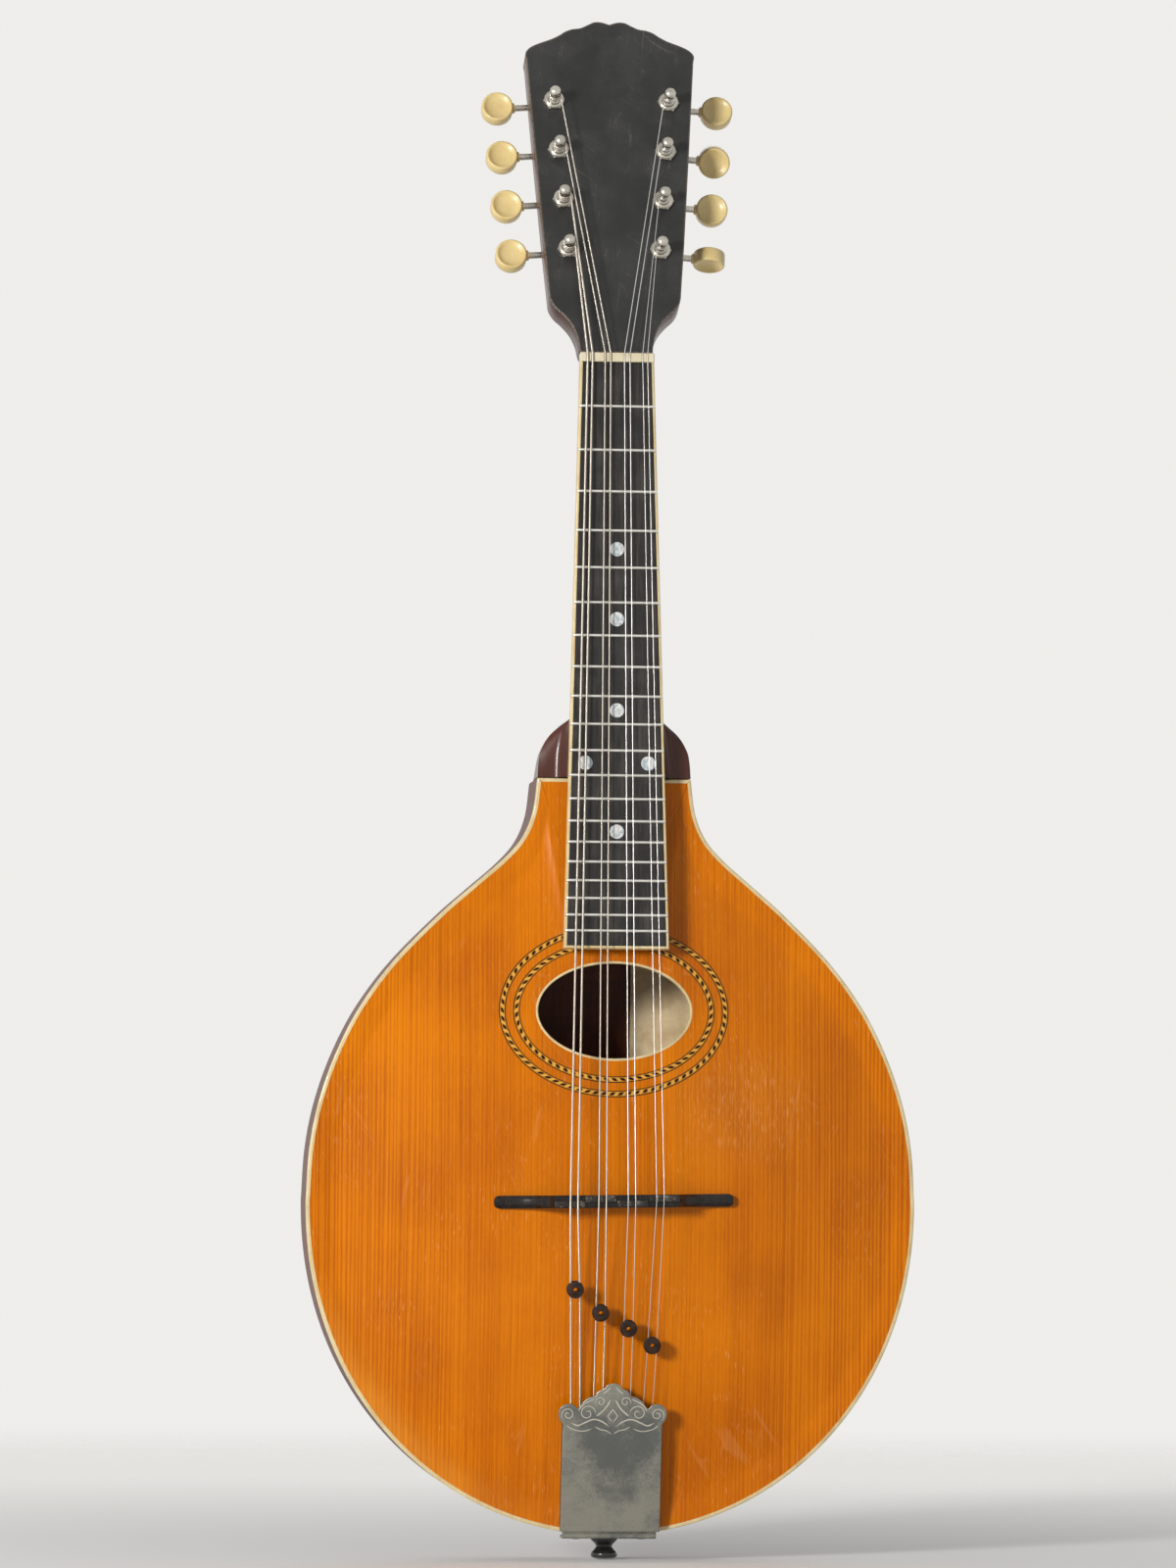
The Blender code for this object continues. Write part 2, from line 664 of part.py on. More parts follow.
def inner_frame():
    """Linings, end blocks and the transverse brace inside the body."""
    floor = -BODY_DEPTH + PLATE + SEAT
    ceiling = -PLATE - SEAT - RECURVE_DIP
    outer, inner = RIB_THICK + SEAT, RIB_THICK + SEAT + LINING_WIDE
    for name, low, high in (("top_lining", ceiling - LINING_DEEP, ceiling),
                            ("back_lining", floor, floor + LINING_DEEP)):
        flat_piece(name, [ring_line(outer), ring_line(inner)], low, high, "inner_spruce", BODY)
    grooves = []
    for name, low, high in (("top_groove", ceiling - LINING_DEEP - SEAT, 5 * MM),
                            ("back_groove", floor - 5 * MM, floor + LINING_DEEP + SEAT)):
        grooves.append(flat_piece(name, [ring_line(RIB_THICK - SEAT), ring_line(inner + SEAT)],
                                  low, high, None, BODY))
    line = ring_line(outer)
    shoulder = BODY_TOP_Z - NECK_BLOCK_LONG
    side = sorted([p for p in line if p[0] > 0], key=lambda p: p[1])
    width = min(side, key=lambda p: abs(p[1] - shoulder - 8 * MM))[0]
    block = [(width, shoulder)] + [(min(x, width), z) for x, z in side if z > shoulder]
    loop = block + [(-x, z) for x, z in reversed(block)]
    cut(flat_piece("neck_block", [loop], floor, ceiling, "inner_spruce", BODY), *grooves)
    low_line = sorted([p for p in line if 0 <= p[0] < TAIL_BLOCK_HALF and p[1] < WIDEST_Z])
    end_z = low_line[-1][1]
    loop = low_line + [(low_line[-1][0], end_z + TAIL_BLOCK_LONG)]
    loop = loop + [(-x, z) for x, z in reversed(loop) if x > 0]
    cut(flat_piece("tail_block", [loop], floor, ceiling, "inner_spruce", BODY),
        *grooves, pin_hole())
    xs = [BRACE_HALF * k / 8 for k in range(-8, 9)]
    clear = PLATE + SEAT + 0.15 * MM
    upper = [(x, min(front_at(x, BRACE_Z + d * BRACE_WIDE / 2) for d in (-1, 0, 1)) - clear)
             for x in xs]
    low = [(BRACE_HALF, upper[-1][1] - 3 * MM), (BRACE_HALF * 0.8, upper[-3][1] - BRACE_DEEP),
           (-BRACE_HALF * 0.8, upper[2][1] - BRACE_DEEP), (-BRACE_HALF, upper[0][1] - 3 * MM)]
    flat_piece("top_brace", [upper + low], -BRACE_WIDE / 2, BRACE_WIDE / 2, "inner_spruce",
               BODY, turn=ENDWISE, location=(0, BRACE_Z, 0))


# Neck, headstock and fingerboard


def board_half(u):
    """Half width of the bound fingerboard at a distance below the nut line."""
    return BOARD_NUT_HALF + (BOARD_END_HALF - BOARD_NUT_HALF) * u / BOARD_LONG


def neck_seat_height(z):
    """Height of the neck's flat, just under the fingerboard, at a height up the body frame."""
    surface = to_body(BOARD, (0, 0, -BOARD_THICK - SEAT))
    return surface.z + (surface.y - z) * math.tan(NECK_PITCH)


def neck():
    """Neck, heel and headstock are one piece of wood: a loft joined to a flat headstock."""
    rows = []
    for z, side, back, square in NECK_STATIONS:
        z, side, back = z * MM, side * MM, back * MM
        flat = neck_seat_height(z) - (HEAD_DIP if z > HEAD_ROOT.z else 0.0)
        half = min(board_half((NUT_LINE.z - z) / math.cos(NECK_PITCH)) - 0.3 * MM, side)
        shelf = min(-0.4 * MM, flat - 1.5 * MM) if side > half + 0.5 * MM else flat - 1.5 * MM
        right = [(half, flat), (half + 0.3 * (side - half), shelf + 0.25 * (flat - shelf)),
                 (side, shelf)]
        for t in (25, 45, 65, 80):
            c, s = math.cos(math.radians(t)), math.sin(math.radians(t))
            right.append((side * c ** square, shelf + (back - shelf) * s ** (square * 1.4)))
        rows.append([(x, z, n) for x, n in right] + [(0.0, z, back)]
                    + [(-x, z, n) for x, n in reversed(right)])
    n = len(rows[0])
    points = [p for row in rows for p in row]
    faces = [tuple(range(n)), tuple(range(len(points) - n, len(points)))[::-1]]
    for k in range(len(rows) - 1):
        for i in range(n):
            j = (i + 1) % n
            faces.append((k * n + j, k * n + i, (k + 1) * n + i, (k + 1) * n + j))
    mesh = mesh_from_faces("neck", points, faces)
    obj = settle(bpy.data.objects.new("neck", mesh), "neck_mahogany", BODY, smooth=40)
    loop = [(x * MM, s * MM) for x, s in HEAD_OUTLINE]
    loop = loop + [(-x, s) for x, s in reversed(loop) if x > 0]
    paddle = flat_piece("head_paddle", [loop], -HEAD_THICK, -VENEER_THICK - FIT, None, HEAD)
    fuse(obj, paddle)
    holes = post_holes(POST_R + RUNNING)
    cut(obj, *holes)
    veneer = flat_piece("head_veneer", [loop], -VENEER_THICK, 0.0, "head_black", HEAD)
    cut(veneer, *holes)


def fingerboard():
    start = -NUT_FRONT + SEAT
    bound = BOARD_BINDING
    end = BOARD_LONG - bound - FIT
    core = [(board_half(start) - bound - FIT, -start), (board_half(end) - bound - FIT, -end)]
    loop = core + [(-x, u) for x, u in reversed(core)]
    board = flat_piece("fingerboard", [loop], -BOARD_THICK, 0.0, "board_ebony", BOARD)
    frets = bmesh.new()
    section = ((-0.5, -0.4), (-0.5, 0.1), (-0.22, 1.0), (0.22, 1.0), (0.5, 0.1), (0.5, -0.4))
    for k in range(1, FRET_COUNT + 1):
        u = SCALE_LENGTH * (1 - 2 ** (-k / 12))
        half = board_half(u) - bound - 0.3 * MM
        ends = []
        for hand in (-1, 1):
            ring = [frets.verts.new((hand * half, -u + w * FRET_WIDE, h * FRET_CROWN))
                    for w, h in section]
            ends.append(ring)
        for i in range(6):
            j = (i + 1) % 6
            frets.faces.new((ends[0][i], ends[0][j], ends[1][j], ends[1][i]))
        frets.faces.new(ends[0][::-1])
        frets.faces.new(ends[1])
    bmesh.ops.recalc_face_normals(frets, faces=frets.faces)
    mesh = bpy.data.meshes.new("fret_bars")
    frets.to_mesh(mesh)
    frets.free()
    fuse(board, settle(bpy.data.objects.new("fret_bars", mesh), None, BOARD))
    outer = [(board_half(start), -start), (board_half(BOARD_LONG), -BOARD_LONG)]
    inner = [(board_half(end) - bound, -BOARD_LONG + bound), (board_half(start) - bound, -start)]
    right = outer[:]
    left = [(-x, u) for x, u in reversed(outer)]
    cavity = [(-x, u) for x, u in reversed(inner)]
    loop = right + left + cavity + inner
    flat_piece("fingerboard_binding", [loop], -BOARD_THICK, -0.05 * MM, "binding_ivory", BOARD)


def nut_and_riser():
    nut = box("nut", (-BOARD_NUT_HALF, NUT_FRONT, -BOARD_THICK),
              (BOARD_NUT_HALF, NUT_FRONT + NUT_THICK, NUT_TOP), "nut_bone", BOARD)
    soften(nut, 0.5 * MM, 2)
    low_z = to_body(BOARD, (0, -BOARD_LONG, 0)).y + RISER_SHORT
    high_z = BODY_TOP_Z - 0.2 * MM
    points = []
    for z, half in ((low_z, RISER_HALF_WIDE), (high_z, RISER_HALF_NARROW)):
        flat = neck_seat_height(z)
        points += [(-half, z, -1 * MM), (half, z, -1 * MM), (half, z, flat), (-half, z, flat)]
    faces = [(0, 1, 2, 3), (7, 6, 5, 4), (0, 4, 5, 1), (1, 5, 6, 2), (2, 6, 7, 3), (3, 7, 4, 0)]
    mesh = mesh_from_faces("board_riser", points, faces)
    riser = settle(bpy.data.objects.new("board_riser", mesh), "neck_mahogany", BODY)
    edge = [(x, z) for x, z in OUTLINE]
    rim = flat_piece("rim_clearance", [edge], -20 * MM, SEAT, None, BODY)
    cut(riser, SEATING, rim)


# Tuning machines: posts, gears, worms, buttons and plates


def post_places(hand):
    """The four post positions of one side in the head frame, from the crest down."""
    return [(hand * (POST_TOP_X + (POST_LOW_X - POST_TOP_X) * k / 3), POST_TOP_S - POST_STEP * k)
            for k in range(4)]


ROW_SLANT = math.atan((POST_TOP_X - POST_LOW_X) / (3 * POST_STEP))
GEAR_PITCH_R = MODULE * GEAR_TEETH / 2
WORM_OFFSET = GEAR_PITCH_R + WORM_PITCH_R
WORM_LEAD = math.pi * MODULE


def tuner_frames():
    """One frame for each post: its first axis along the worm shaft, the same hand on both sides."""
    frames = {}
    for side, hand in (("treble", 1), ("bass", -1)):
        for k, (x, s) in enumerate(post_places(hand)):
            frames[side, k] = empty(f"tuner_frame_{side}_{k + 1}", HEAD, (x, s, 0.0),
                                    (0, 0, -hand * ROW_SLANT))
    return frames


def post_holes(radius):
    found = []
    for side in ("treble", "bass"):
        for k in range(4):
            name = f"post_hole_{side}_{k + 1}"
            found.append(rod(name, radius, -HEAD_THICK - 4 * MM, 4 * MM, 8, None,
                             TUNERS[side, k]))
    return found


def gear_outline():
    """Fourteen plain trapezoid teeth; a gap stands at the top, where the worm runs."""
    tip, root = GEAR_PITCH_R + 0.55 * MM, GEAR_PITCH_R - 0.70 * MM
    widths = ((root, -0.56 * MM), (tip, -0.22 * MM), (tip, 0.22 * MM), (root, 0.56 * MM))
    line = []
    for k in range(GEAR_TEETH):
        middle = math.pi / 2 + 2 * math.pi * (k + 0.5) / GEAR_TEETH
        for radius, across in widths:
            angle = middle + across / radius
            line.append((radius * math.cos(angle), radius * math.sin(angle)))
    return line


def post_mesh():
    """String post with its gear: the gear's teeth are set over to the lead of the worm."""
    under = -WORM_DEPTH - GEAR_THICK / 2
    profile = ((0.0, POST_TIP), (1.5 * MM, POST_TIP - 0.5 * MM), (2.5 * MM, POST_TIP - 1.9 * MM),
               (2.1 * MM, POST_TIP - 3.2 * MM), (WAIST_R, POST_TIP - 3.7 * MM),
               (WAIST_R, WAIST_N - 1.9 * MM), (POST_R, WAIST_N - 2.8 * MM),
               (POST_R, under + 0.6 * MM), (2.0 * MM, under + 0.6 * MM),
               (2.0 * MM, under - 0.8 * MM), (0.0, under - 0.8 * MM))
    post = turned("post_turning", profile, 8, "tuner_nickel", None)
    gear = flat_mesh("gear_wheel", [gear_outline()], -GEAR_THICK / 2, GEAR_THICK / 2)
    lean = WORM_LEAD / (2 * math.pi * WORM_PITCH_R) / GEAR_PITCH_R
    for v in gear.vertices:
        v.co = Matrix.Rotation(lean * v.co.z, 3, "Z") @ v.co
    gear.transform(Matrix.Translation((0, 0, -WORM_DEPTH)))
    wheel = settle(bpy.data.objects.new("gear_wheel", gear), None, None)
    fuse(post, wheel)
    mesh = set_in_mesh(post, "string_post")
    bpy.data.objects.remove(wheel, do_unlink=True)
    return mesh


def worm_mesh(name, reach):
    """Worm and shaft along x: a true thread that fades in and out, then journals and stem."""
    root, crest = WORM_PITCH_R - 0.70 * MM, WORM_PITCH_R + 0.55 * MM
    marks = ((-0.575 * MM, 0), (-0.225 * MM, 1), (0.225 * MM, 1), (0.575 * MM, 0))
    facets, turns, lead = WORM_FACETS, WORM_TURNS, WORM_LEAD
    start = -lead * turns / 2
    stop = -start + 0.67 * MM
    points, index = [], {}

    def add(x, radius, column):
        angle = 2 * math.pi * column / facets
        points.append((x, radius * math.cos(angle), radius * math.sin(angle)))
        return len(points) - 1

    rows = 4 * turns + 1
    for row in range(rows):
        turn, (offset, raised) = row // 4, marks[row % 4]
        for column in range(facets + 1):
            if column == facets and row + 4 < rows:
                continue
            phase = turn + column / facets
            grow = max(0.0, min(1.0, phase / 0.5, (turns - phase) / 0.5))
            x = min(start + turn * lead + offset + lead * column / facets, stop)
            index[row, column] = add(x, root + (crest - root) * grow * raised, column)
    for row in range(rows - 4):
        index[row, facets] = index[row + 4, 0]
    faces = []
    for row in range(rows - 1):
        for c in range(facets):
            faces.append((index[row, c], index[row, c + 1], index[row + 1, c + 1], index[row + 1, c]))
    shoulder = 3.7 * MM
    left = [add(-shoulder, root, c) for c in range(facets)]
    right = [add(shoulder, root, c) for c in range(facets)]
    for c in range(facets - 1):
        faces.append((left[c], left[c + 1], index[0, c + 1], index[0, c]))
        faces.append((index[rows - 1, c], index[rows - 1, c + 1], right[c + 1], right[c]))
    seam = [index[row, 0] for row in range(5)]
    faces.append((left[-1], left[0], *seam, index[0, facets - 1]))
    seam = [index[row, facets] for row in range(rows - 1, rows - 6, -1)]
    faces.append((right[0], right[-1], index[rows - 1, facets - 1], *seam))
    for ring, ends in ((left, ((-shoulder, SHAFT_R), (-reach[0], SHAFT_R))),
                       (right, ((shoulder, SHAFT_R), (reach[1], SHAFT_R)))):
        for x, radius in ends:
            following = [add(x, radius, c) for c in range(facets)]
            for c in range(facets):
                d = (c + 1) % facets
                faces.append((ring[c], ring[d], following[d], following[c]))
            ring = following
        faces.append(tuple(ring))
    return mesh_from_faces(name, points, faces)


def button_mesh():
    """A round button with hollowed faces and a socket for the shaft; the shaft enters along -x."""
    rim, waist = BUTTON_RIM / 2, BUTTON_WAIST / 2
    profile = ((0.0, waist), (4.2 * MM, waist + 0.5 * MM), (6.1 * MM, rim),
               (BUTTON_R, rim - 0.6 * MM), (BUTTON_R, -rim + 0.6 * MM), (6.1 * MM, -rim),
               (4.2 * MM, -waist - 0.5 * MM), (0.0, -waist))
    disc = turned("button_disc", profile, 14, "button_cream", None)
    socket = rod("button_socket", SHAFT_R + 0.05 * MM, -BUTTON_R - 1 * MM,
                 -BUTTON_R + BUTTON_SOCKET + 0.2 * MM, 8, None, None,
                 rotation=(0, math.pi / 2, 0))
    hub = rod("button_hub", 2.3 * MM, -BUTTON_R - 0.7 * MM, -BUTTON_R + 2.5 * MM, 8, None, None,
              rotation=(0, math.pi / 2, 0))
    fuse(disc, hub)
    cut(disc, socket)
    mesh = set_in_mesh(disc, "tuner_button")
    for helper in (socket, hub):
        bpy.data.objects.remove(helper, do_unlink=True)
    return mesh


def tuner_plate(side, hand):
    """Back plate of one row of four machines, with a pair of bearing lugs for each worm."""
    frame = TUNERS[side, 3]
    row = [Vector(p) for p in post_places(hand)]
    length = (row[0] - row[3]).length
    top = -HEAD_THICK - SEAT
    low, high = -8.5 * MM, length + 12.0 * MM
    half, nip = TUNER_PLATE_HALF, 2.0 * MM
    loop = [(half, low + nip), (half, high - nip), (half - nip, high), (-half + nip, high),
            (-half, high - nip), (-half, low + nip), (-half + nip, low), (half - nip, low)]
    plate = flat_piece(f"tuner_plate_{side}", [loop], top - TUNER_PLATE_THICK, top,
                       "tuner_nickel", frame)
    lugs = []
    inner = 3.95 * MM
    for k in range(4):
        for j, x in enumerate((-inner - LUG_THICK, inner)):
            lugs.append(box(f"lug_{side}_{k}_{j}",
                            (x, WORM_OFFSET - LUG_HALF, -WORM_DEPTH - LUG_HALF),
                            (x + LUG_THICK, WORM_OFFSET + LUG_HALF, top - 0.5 * MM),
                            None, TUNERS[side, k]))
    fuse(plate, *lugs)
    for k in range(4):
        bore = rod(f"bore_{side}_{k}", SHAFT_R + RUNNING, -7 * MM, 7 * MM, 8, None,
                   TUNERS[side, k], location=(0, WORM_OFFSET, -WORM_DEPTH),
                   rotation=(0, math.pi / 2, 0))
        cut(plate, bore)
        cut(plate, bpy.data.objects[f"post_hole_{side}_{k + 1}"])


def tuners():
    post, button = post_mesh(), button_mesh()
    stem = BUTTON_REACH - BUTTON_R + BUTTON_SOCKET
    worms = {1: worm_mesh("worm_treble", (5.4 * MM, stem)),
             -1: worm_mesh("worm_bass", (stem, 5.4 * MM))}
    for side, hand in (("treble", 1), ("bass", -1)):
        tuner_plate(side, hand)
        for k in range(4):
            frame = TUNERS[side, k]
            tag = f"{side}_{k + 1}"
            settle(bpy.data.objects.new(f"post_{tag}", post), "tuner_nickel", frame, smooth=35)
            axis = (0, WORM_OFFSET, -WORM_DEPTH)
            settle(bpy.data.objects.new(f"worm_{tag}", worms[hand]), "tuner_brass", frame,
                   location=axis, smooth=35)
            turn = math.radians(BUTTON_TURNS[side][k])
            place = Matrix.Rotation(turn, 4, "X") @ Matrix.Rotation(0 if hand > 0 else math.pi,
                                                                    4, "Z")
            knob = settle(bpy.data.objects.new(f"button_{tag}", button), "button_cream", frame,
                          location=(hand * BUTTON_REACH, *axis[1:]), smooth=35)
            knob.rotation_euler = place.to_euler()


# Bridge, tailpiece and strings


def saddle_shift(k):
    """Each course rests a little nearer to the nut or the tail than the bridge's middle."""
    return SADDLE_STAGGER * (-1 if k % 2 == 0 else 1)


def bridge():
    """One-piece bridge: low scooped wings and a raised saddle stepped for each course."""
    wing = [(SADDLE_HALF + out * (BRIDGE_HALF - SADDLE_HALF),
             BRIDGE_TIP + up * (BRIDGE_LEVEL - BRIDGE_TIP)) for out, up in BRIDGE_WING]
    right = wing + [(BRIDGE_HALF, 0.0)]
    loop = right + [(-x, n) for x, n in reversed(right)]
    base = flat_piece("bridge", [loop], -BRIDGE_THICK / 2, BRIDGE_THICK / 2, "bridge_ebony",
                      BRIDGE, turn=ENDWISE)
    soften(base, 0.45 * MM)
    steps = []
    wide = SADDLE_HALF / 2
    for k, (name, *_) in enumerate(COURSES):
        shift = saddle_shift(k)
        x = -SADDLE_HALF + k * wide
        steps.append(box(f"saddle_{name}", (x, shift - SADDLE_THICK / 2, BRIDGE_LEVEL - 0.8 * MM),
                         (x + wide + 0.05 * MM, shift + SADDLE_THICK / 2, SADDLE_TOP), None, BRIDGE))
    fuse(base, *steps)
    cut(base, SEATING)


def tail_surface(z):
    """Height of the tailpiece plate's outer face."""
    share = (z - TAIL_Z) / (TAIL_PLATE_TOP_Z - TAIL_Z)
    return SEAT + TAIL_PLATE_THICK + share * (TAIL_PLATE_RISE - SEAT)


def tailpiece():
    z0, z1, t = TAIL_Z - SEAT, TAIL_PLATE_TOP_Z, TAIL_PLATE_THICK
    strip = [(z0 - t, -2 * MM), (z0, -2 * MM), (z0, tail_surface(z0) - t),
             (z1, tail_surface(z1) - t), (z1, tail_surface(z1)), (z0 - t * 0.4, tail_surface(z0)),
             (z0 - t, tail_surface(z0) - t * 0.6)]
    base = flat_piece("tailpiece_base", [strip], -TAIL_PLATE_HALF, TAIL_PLATE_HALF,
                      "tail_nickel", BODY, turn=ACROSS)
    half = TAIL_PLATE_HALF
    right = [(half, -1.5 * MM), (half, -9 * MM), (half * 0.62, -19 * MM), (half * 0.42, -26 * MM),
             (half * 0.22, -APRON_DEEP + 1.2 * MM), (0.0, -APRON_DEEP)]
    loop = right + [(-x, n) for x, n in reversed(right[:-1])]
    apron = flat_piece("apron", [loop], -z0, -z0 + t, None, BODY, turn=ENDWISE)
    fuse(base, apron)
    for k, (name, hand, _, tails, *_) in enumerate(COURSES):
        for j, x in enumerate(tails):
            z = hook_height(tails, j)
            top = string_height(COURSES[k], j, z) + HOOK_ABOVE
            hook = rod(f"hook_{name}{j}", HOOK_R, tail_surface(z) - 0.6 * MM, top, 6, None, BODY,
                       location=(hand * x, z, 0.0))
            fuse(base, hook)
    cut(base, pin_hole())


def tail_cover():
    """Sliding cover: a crested plate with side flanges and a turned-down tail edge."""
    right = [(x * MM, v * MM) for x, v in COVER_OUTLINE]
    loop = right + [(-x, v) for x, v in reversed(right[:-1])]
    cover = flat_piece("tailpiece_cover", [loop], 0.0, COVER_THICK, "tail_nickel", COVER)
    slope = math.tan(COVER_SLOPE)

    def below(z, n):
        """A body-frame height as a drop below the cover's plane at that place."""
        point = Matrix.Rotation(-COVER_SLOPE, 3, "X") @ Vector((0, z - COVER_LOW_Z, n - COVER_LOW_N))
        return point.y, point.z

    high = 44.0 * MM
    foot = [below(COVER_LOW_Z, 0.9 * MM), below(high, front_at(COVER_HALF, high) + 0.9 * MM)]
    side = [(0.0, 0.3 * MM), (0.0, foot[0][1]), (foot[1][0], foot[1][1]),
            ((high - COVER_LOW_Z) / math.cos(COVER_SLOPE), 0.3 * MM)]
    for name, hand in (("flange_treble", 1), ("flange_bass", -1)):
        inner, outer = COVER_HALF - COVER_FLANGE, COVER_HALF
        low_x, high_x = (inner, outer) if hand > 0 else (-outer, -inner)
        fuse(cover, flat_piece(name, [side], low_x, high_x, None, COVER, turn=ACROSS))
    drop = COVER_LOW_N - tail_surface(COVER_LOW_Z + COVER_FLANGE) - SEAT - slope * 0.2 * MM
    fuse(cover, box("flange_tail", (-COVER_HALF, 0.0, -drop), (COVER_HALF, COVER_FLANGE, 0.3 * MM),
                    None, COVER))


def end_pin():
    """Turned pin: its shank runs through plate and rib into the tail block."""
    z = TAIL_PLATE_THICK + SEAT * 2
    profile = ((0.0, END_PIN_IN), (END_PIN_SHANK_R * 0.8, END_PIN_IN), (END_PIN_SHANK_R, -z),
               (END_PIN_HEAD_R, -z), (END_PIN_HEAD_R, -z - 1.4 * MM), (3.4 * MM, -z - 3.2 * MM),
               (3.9 * MM, -z - 5.0 * MM), (END_PIN_HEAD_R, -z - 6.8 * MM),
               (END_PIN_HEAD_R, -z - END_PIN_OUT + 0.6 * MM), (4.8 * MM, -z - END_PIN_OUT),
               (0.0, -z - END_PIN_OUT))
    turned("end_pin", profile, 14, "pin_black", BODY,
           location=(0.0, TAIL_Z, END_PIN_N), rotation=(-math.pi / 2, 0, 0))


def saddle_rest(course, j):
    """The tail-side edge of the saddle, where a string first touches it, as the string's middle."""
    name, hand, radius, _, saddles, *_ = course
    x = hand * saddles[j]
    along = BRIDGE_Z + x * math.tan(BRIDGE_SLANT) + saddle_shift(COURSES.index(course))
    return Vector((x, along - SADDLE_THICK / 2, SADDLE_TOP + STRING_REST + radius))


def string_height(course, j, z):
    """Height of a string behind the bridge, at a distance up from the tail."""
    rest = saddle_rest(course, j)
    return HOOK_LEVEL + (rest.z - HOOK_LEVEL) * (z - HOOK_Z) / (rest.y - HOOK_Z)


def grommet_place(course):
    _, hand, _, tails, saddles, _, share = course
    z = HOOK_Z + share * (BRIDGE_Z - HOOK_Z)
    middle = sum(tails) / 2 + (sum(saddles) / 2 - sum(tails) / 2) * share
    height = (string_height(course, 0, z) + string_height(course, 1, z)) / 2
    return Vector((hand * middle, z, height))


def hook_height(tails, j):
    """The hooks stand in two ranks, the inner one of each course nearer to the bridge."""
    return HOOK_Z + HOOK_STAGGER * (1 if tails[j] < sum(tails) / 2 else -1)


def string_line(course, j):
    """The path of one string: loop, grommet, saddle, nut, then round its post."""
    name, hand, radius, tails, _, nuts, _ = course
    loop_r = HOOK_R / math.cos(math.pi / 6) + radius + STRING_REST
    neck_gap = radius + STRING_PART / 2

    def on_line(x, z):
        return Vector((x, z, string_height(course, j, z)))

    x0, z0 = hand * tails[j], hook_height(tails, j)
    points = [on_line(x0 + neck_gap, z0 + loop_r * 2.0)]
    for k in range(7):
        angle = math.radians(28 - 236 * k / 6)
        points.append(on_line(x0 + loop_r * math.cos(angle), z0 + loop_r * math.sin(angle)))
    points.append(on_line(x0 - neck_gap, z0 + loop_r * 2.2))
    outward = -1 if tails[j] < sum(tails) / 2 else 1
    middle = grommet_place(course)
    points.append(on_line(middle.x + hand * outward * GROMMET_SPREAD, middle.y))
    rest = saddle_rest(course, j)
    points += [rest, rest + Vector((0.0, SADDLE_THICK, 0.0))]
    height = NUT_TOP + STRING_REST + radius
    for u in (NUT_FRONT + 0.6 * MM, NUT_FRONT + NUT_THICK - 0.3 * MM):
        points.append(to_body(BOARD, (hand * nuts[j], u, height)))
    return points


def wound_on_post(points, radius, frame, hand):
    """Carry the string on to the post and round its waist, down towards the face."""
    coil_r = (WAIST_R + radius + STRING_REST) / math.cos(math.pi / WRAP_FACETS)
    pitch = 2 * radius + STRING_PART
    start_height = WAIST_N + WRAPS * pitch / 2
    inverse = world_of(frame).inverted() @ world_of(BODY)
    nut = inverse @ points[-1]
    bearing = math.atan2(nut.y, nut.x)
    swing = math.acos(coil_r / math.hypot(nut.x, nut.y))
    start = bearing + (-swing if hand > 0 else swing)
    turn = -1 if hand > 0 else 1
    steps = int(WRAPS * WRAP_FACETS)
    for k in range(steps + 1):
        angle = start + turn * 2 * math.pi * k / WRAP_FACETS
        drop = pitch * k / WRAP_FACETS
        local = (coil_r * math.cos(angle), coil_r * math.sin(angle), start_height - drop)
        points.append(to_body(frame, local))
    return points


def least_gap(points, radius):
    """Clear space between runs of one string, past the nearest few points along it."""
    gaps = [(Vector(a) - Vector(b)).length - 2 * radius
            for i, a in enumerate(points) for b in points[i + WRAP_FACETS // 2 + 1:]]
    return min(gaps)


def strings():
    order = {("g", 0): ("bass", 3), ("g", 1): ("bass", 2), ("d", 0): ("bass", 1),
             ("d", 1): ("bass", 0), ("a", 0): ("treble", 0), ("a", 1): ("treble", 1),
             ("e", 0): ("treble", 2), ("e", 1): ("treble", 3)}
    for course in COURSES:
        name, hand, radius = course[:3]
        for j in range(2):
            points = string_line(course, j)
            points = wound_on_post(points, radius, TUNERS[order[name, j]], hand)
            gap = least_gap(points, radius) / MM
            print(f"string_{name}{j + 1}: least gap to itself {gap:.2f} mm")
            curve = bpy.data.curves.new(f"string_{name}{j + 1}", "CURVE")
            curve.dimensions = "3D"
            curve.bevel_depth = radius
            curve.bevel_resolution = STRING_SIDES
            curve.render_resolution_u = 0
            curve.use_fill_caps = True
            spline = curve.splines.new("POLY")
            spline.points.add(len(points) - 1)
            for target, point in zip(spline.points, points):
                target.co = (*point, 1.0)
            obj = bpy.data.objects.new(curve.name, curve)
            finish = "string_bronze" if name in "gd" else "string_steel"
            settle(obj, finish, BODY)


def grommets():
    """Soft rings, each held by its groove between the two strings of a course."""
    for course in COURSES:
        name, _, radius, *_ = course
        place = grommet_place(course)
        rise = (saddle_rest(course, 0).z - HOOK_LEVEL) / (BRIDGE_Z - HOOK_Z)
        groove = GROMMET_SPREAD - radius - 0.1 * MM
        half, lip = GROMMET_THICK / 2, radius + 0.2 * MM
        profile = ((GROMMET_HOLE_R, half), (GROMMET_R - 0.5 * MM, half), (GROMMET_R, half - 0.5 * MM),
                   (GROMMET_R, lip), (groove, lip), (groove, -lip), (GROMMET_R, -lip),
                   (GROMMET_R, -half + 0.5 * MM), (GROMMET_R - 0.5 * MM, -half),
                   (GROMMET_HOLE_R, -half))
        turned(f"grommet_{name}", profile, 12, "grommet_rubber", BODY, ring=True,
               location=place, rotation=(math.atan(rise), 0, 0))


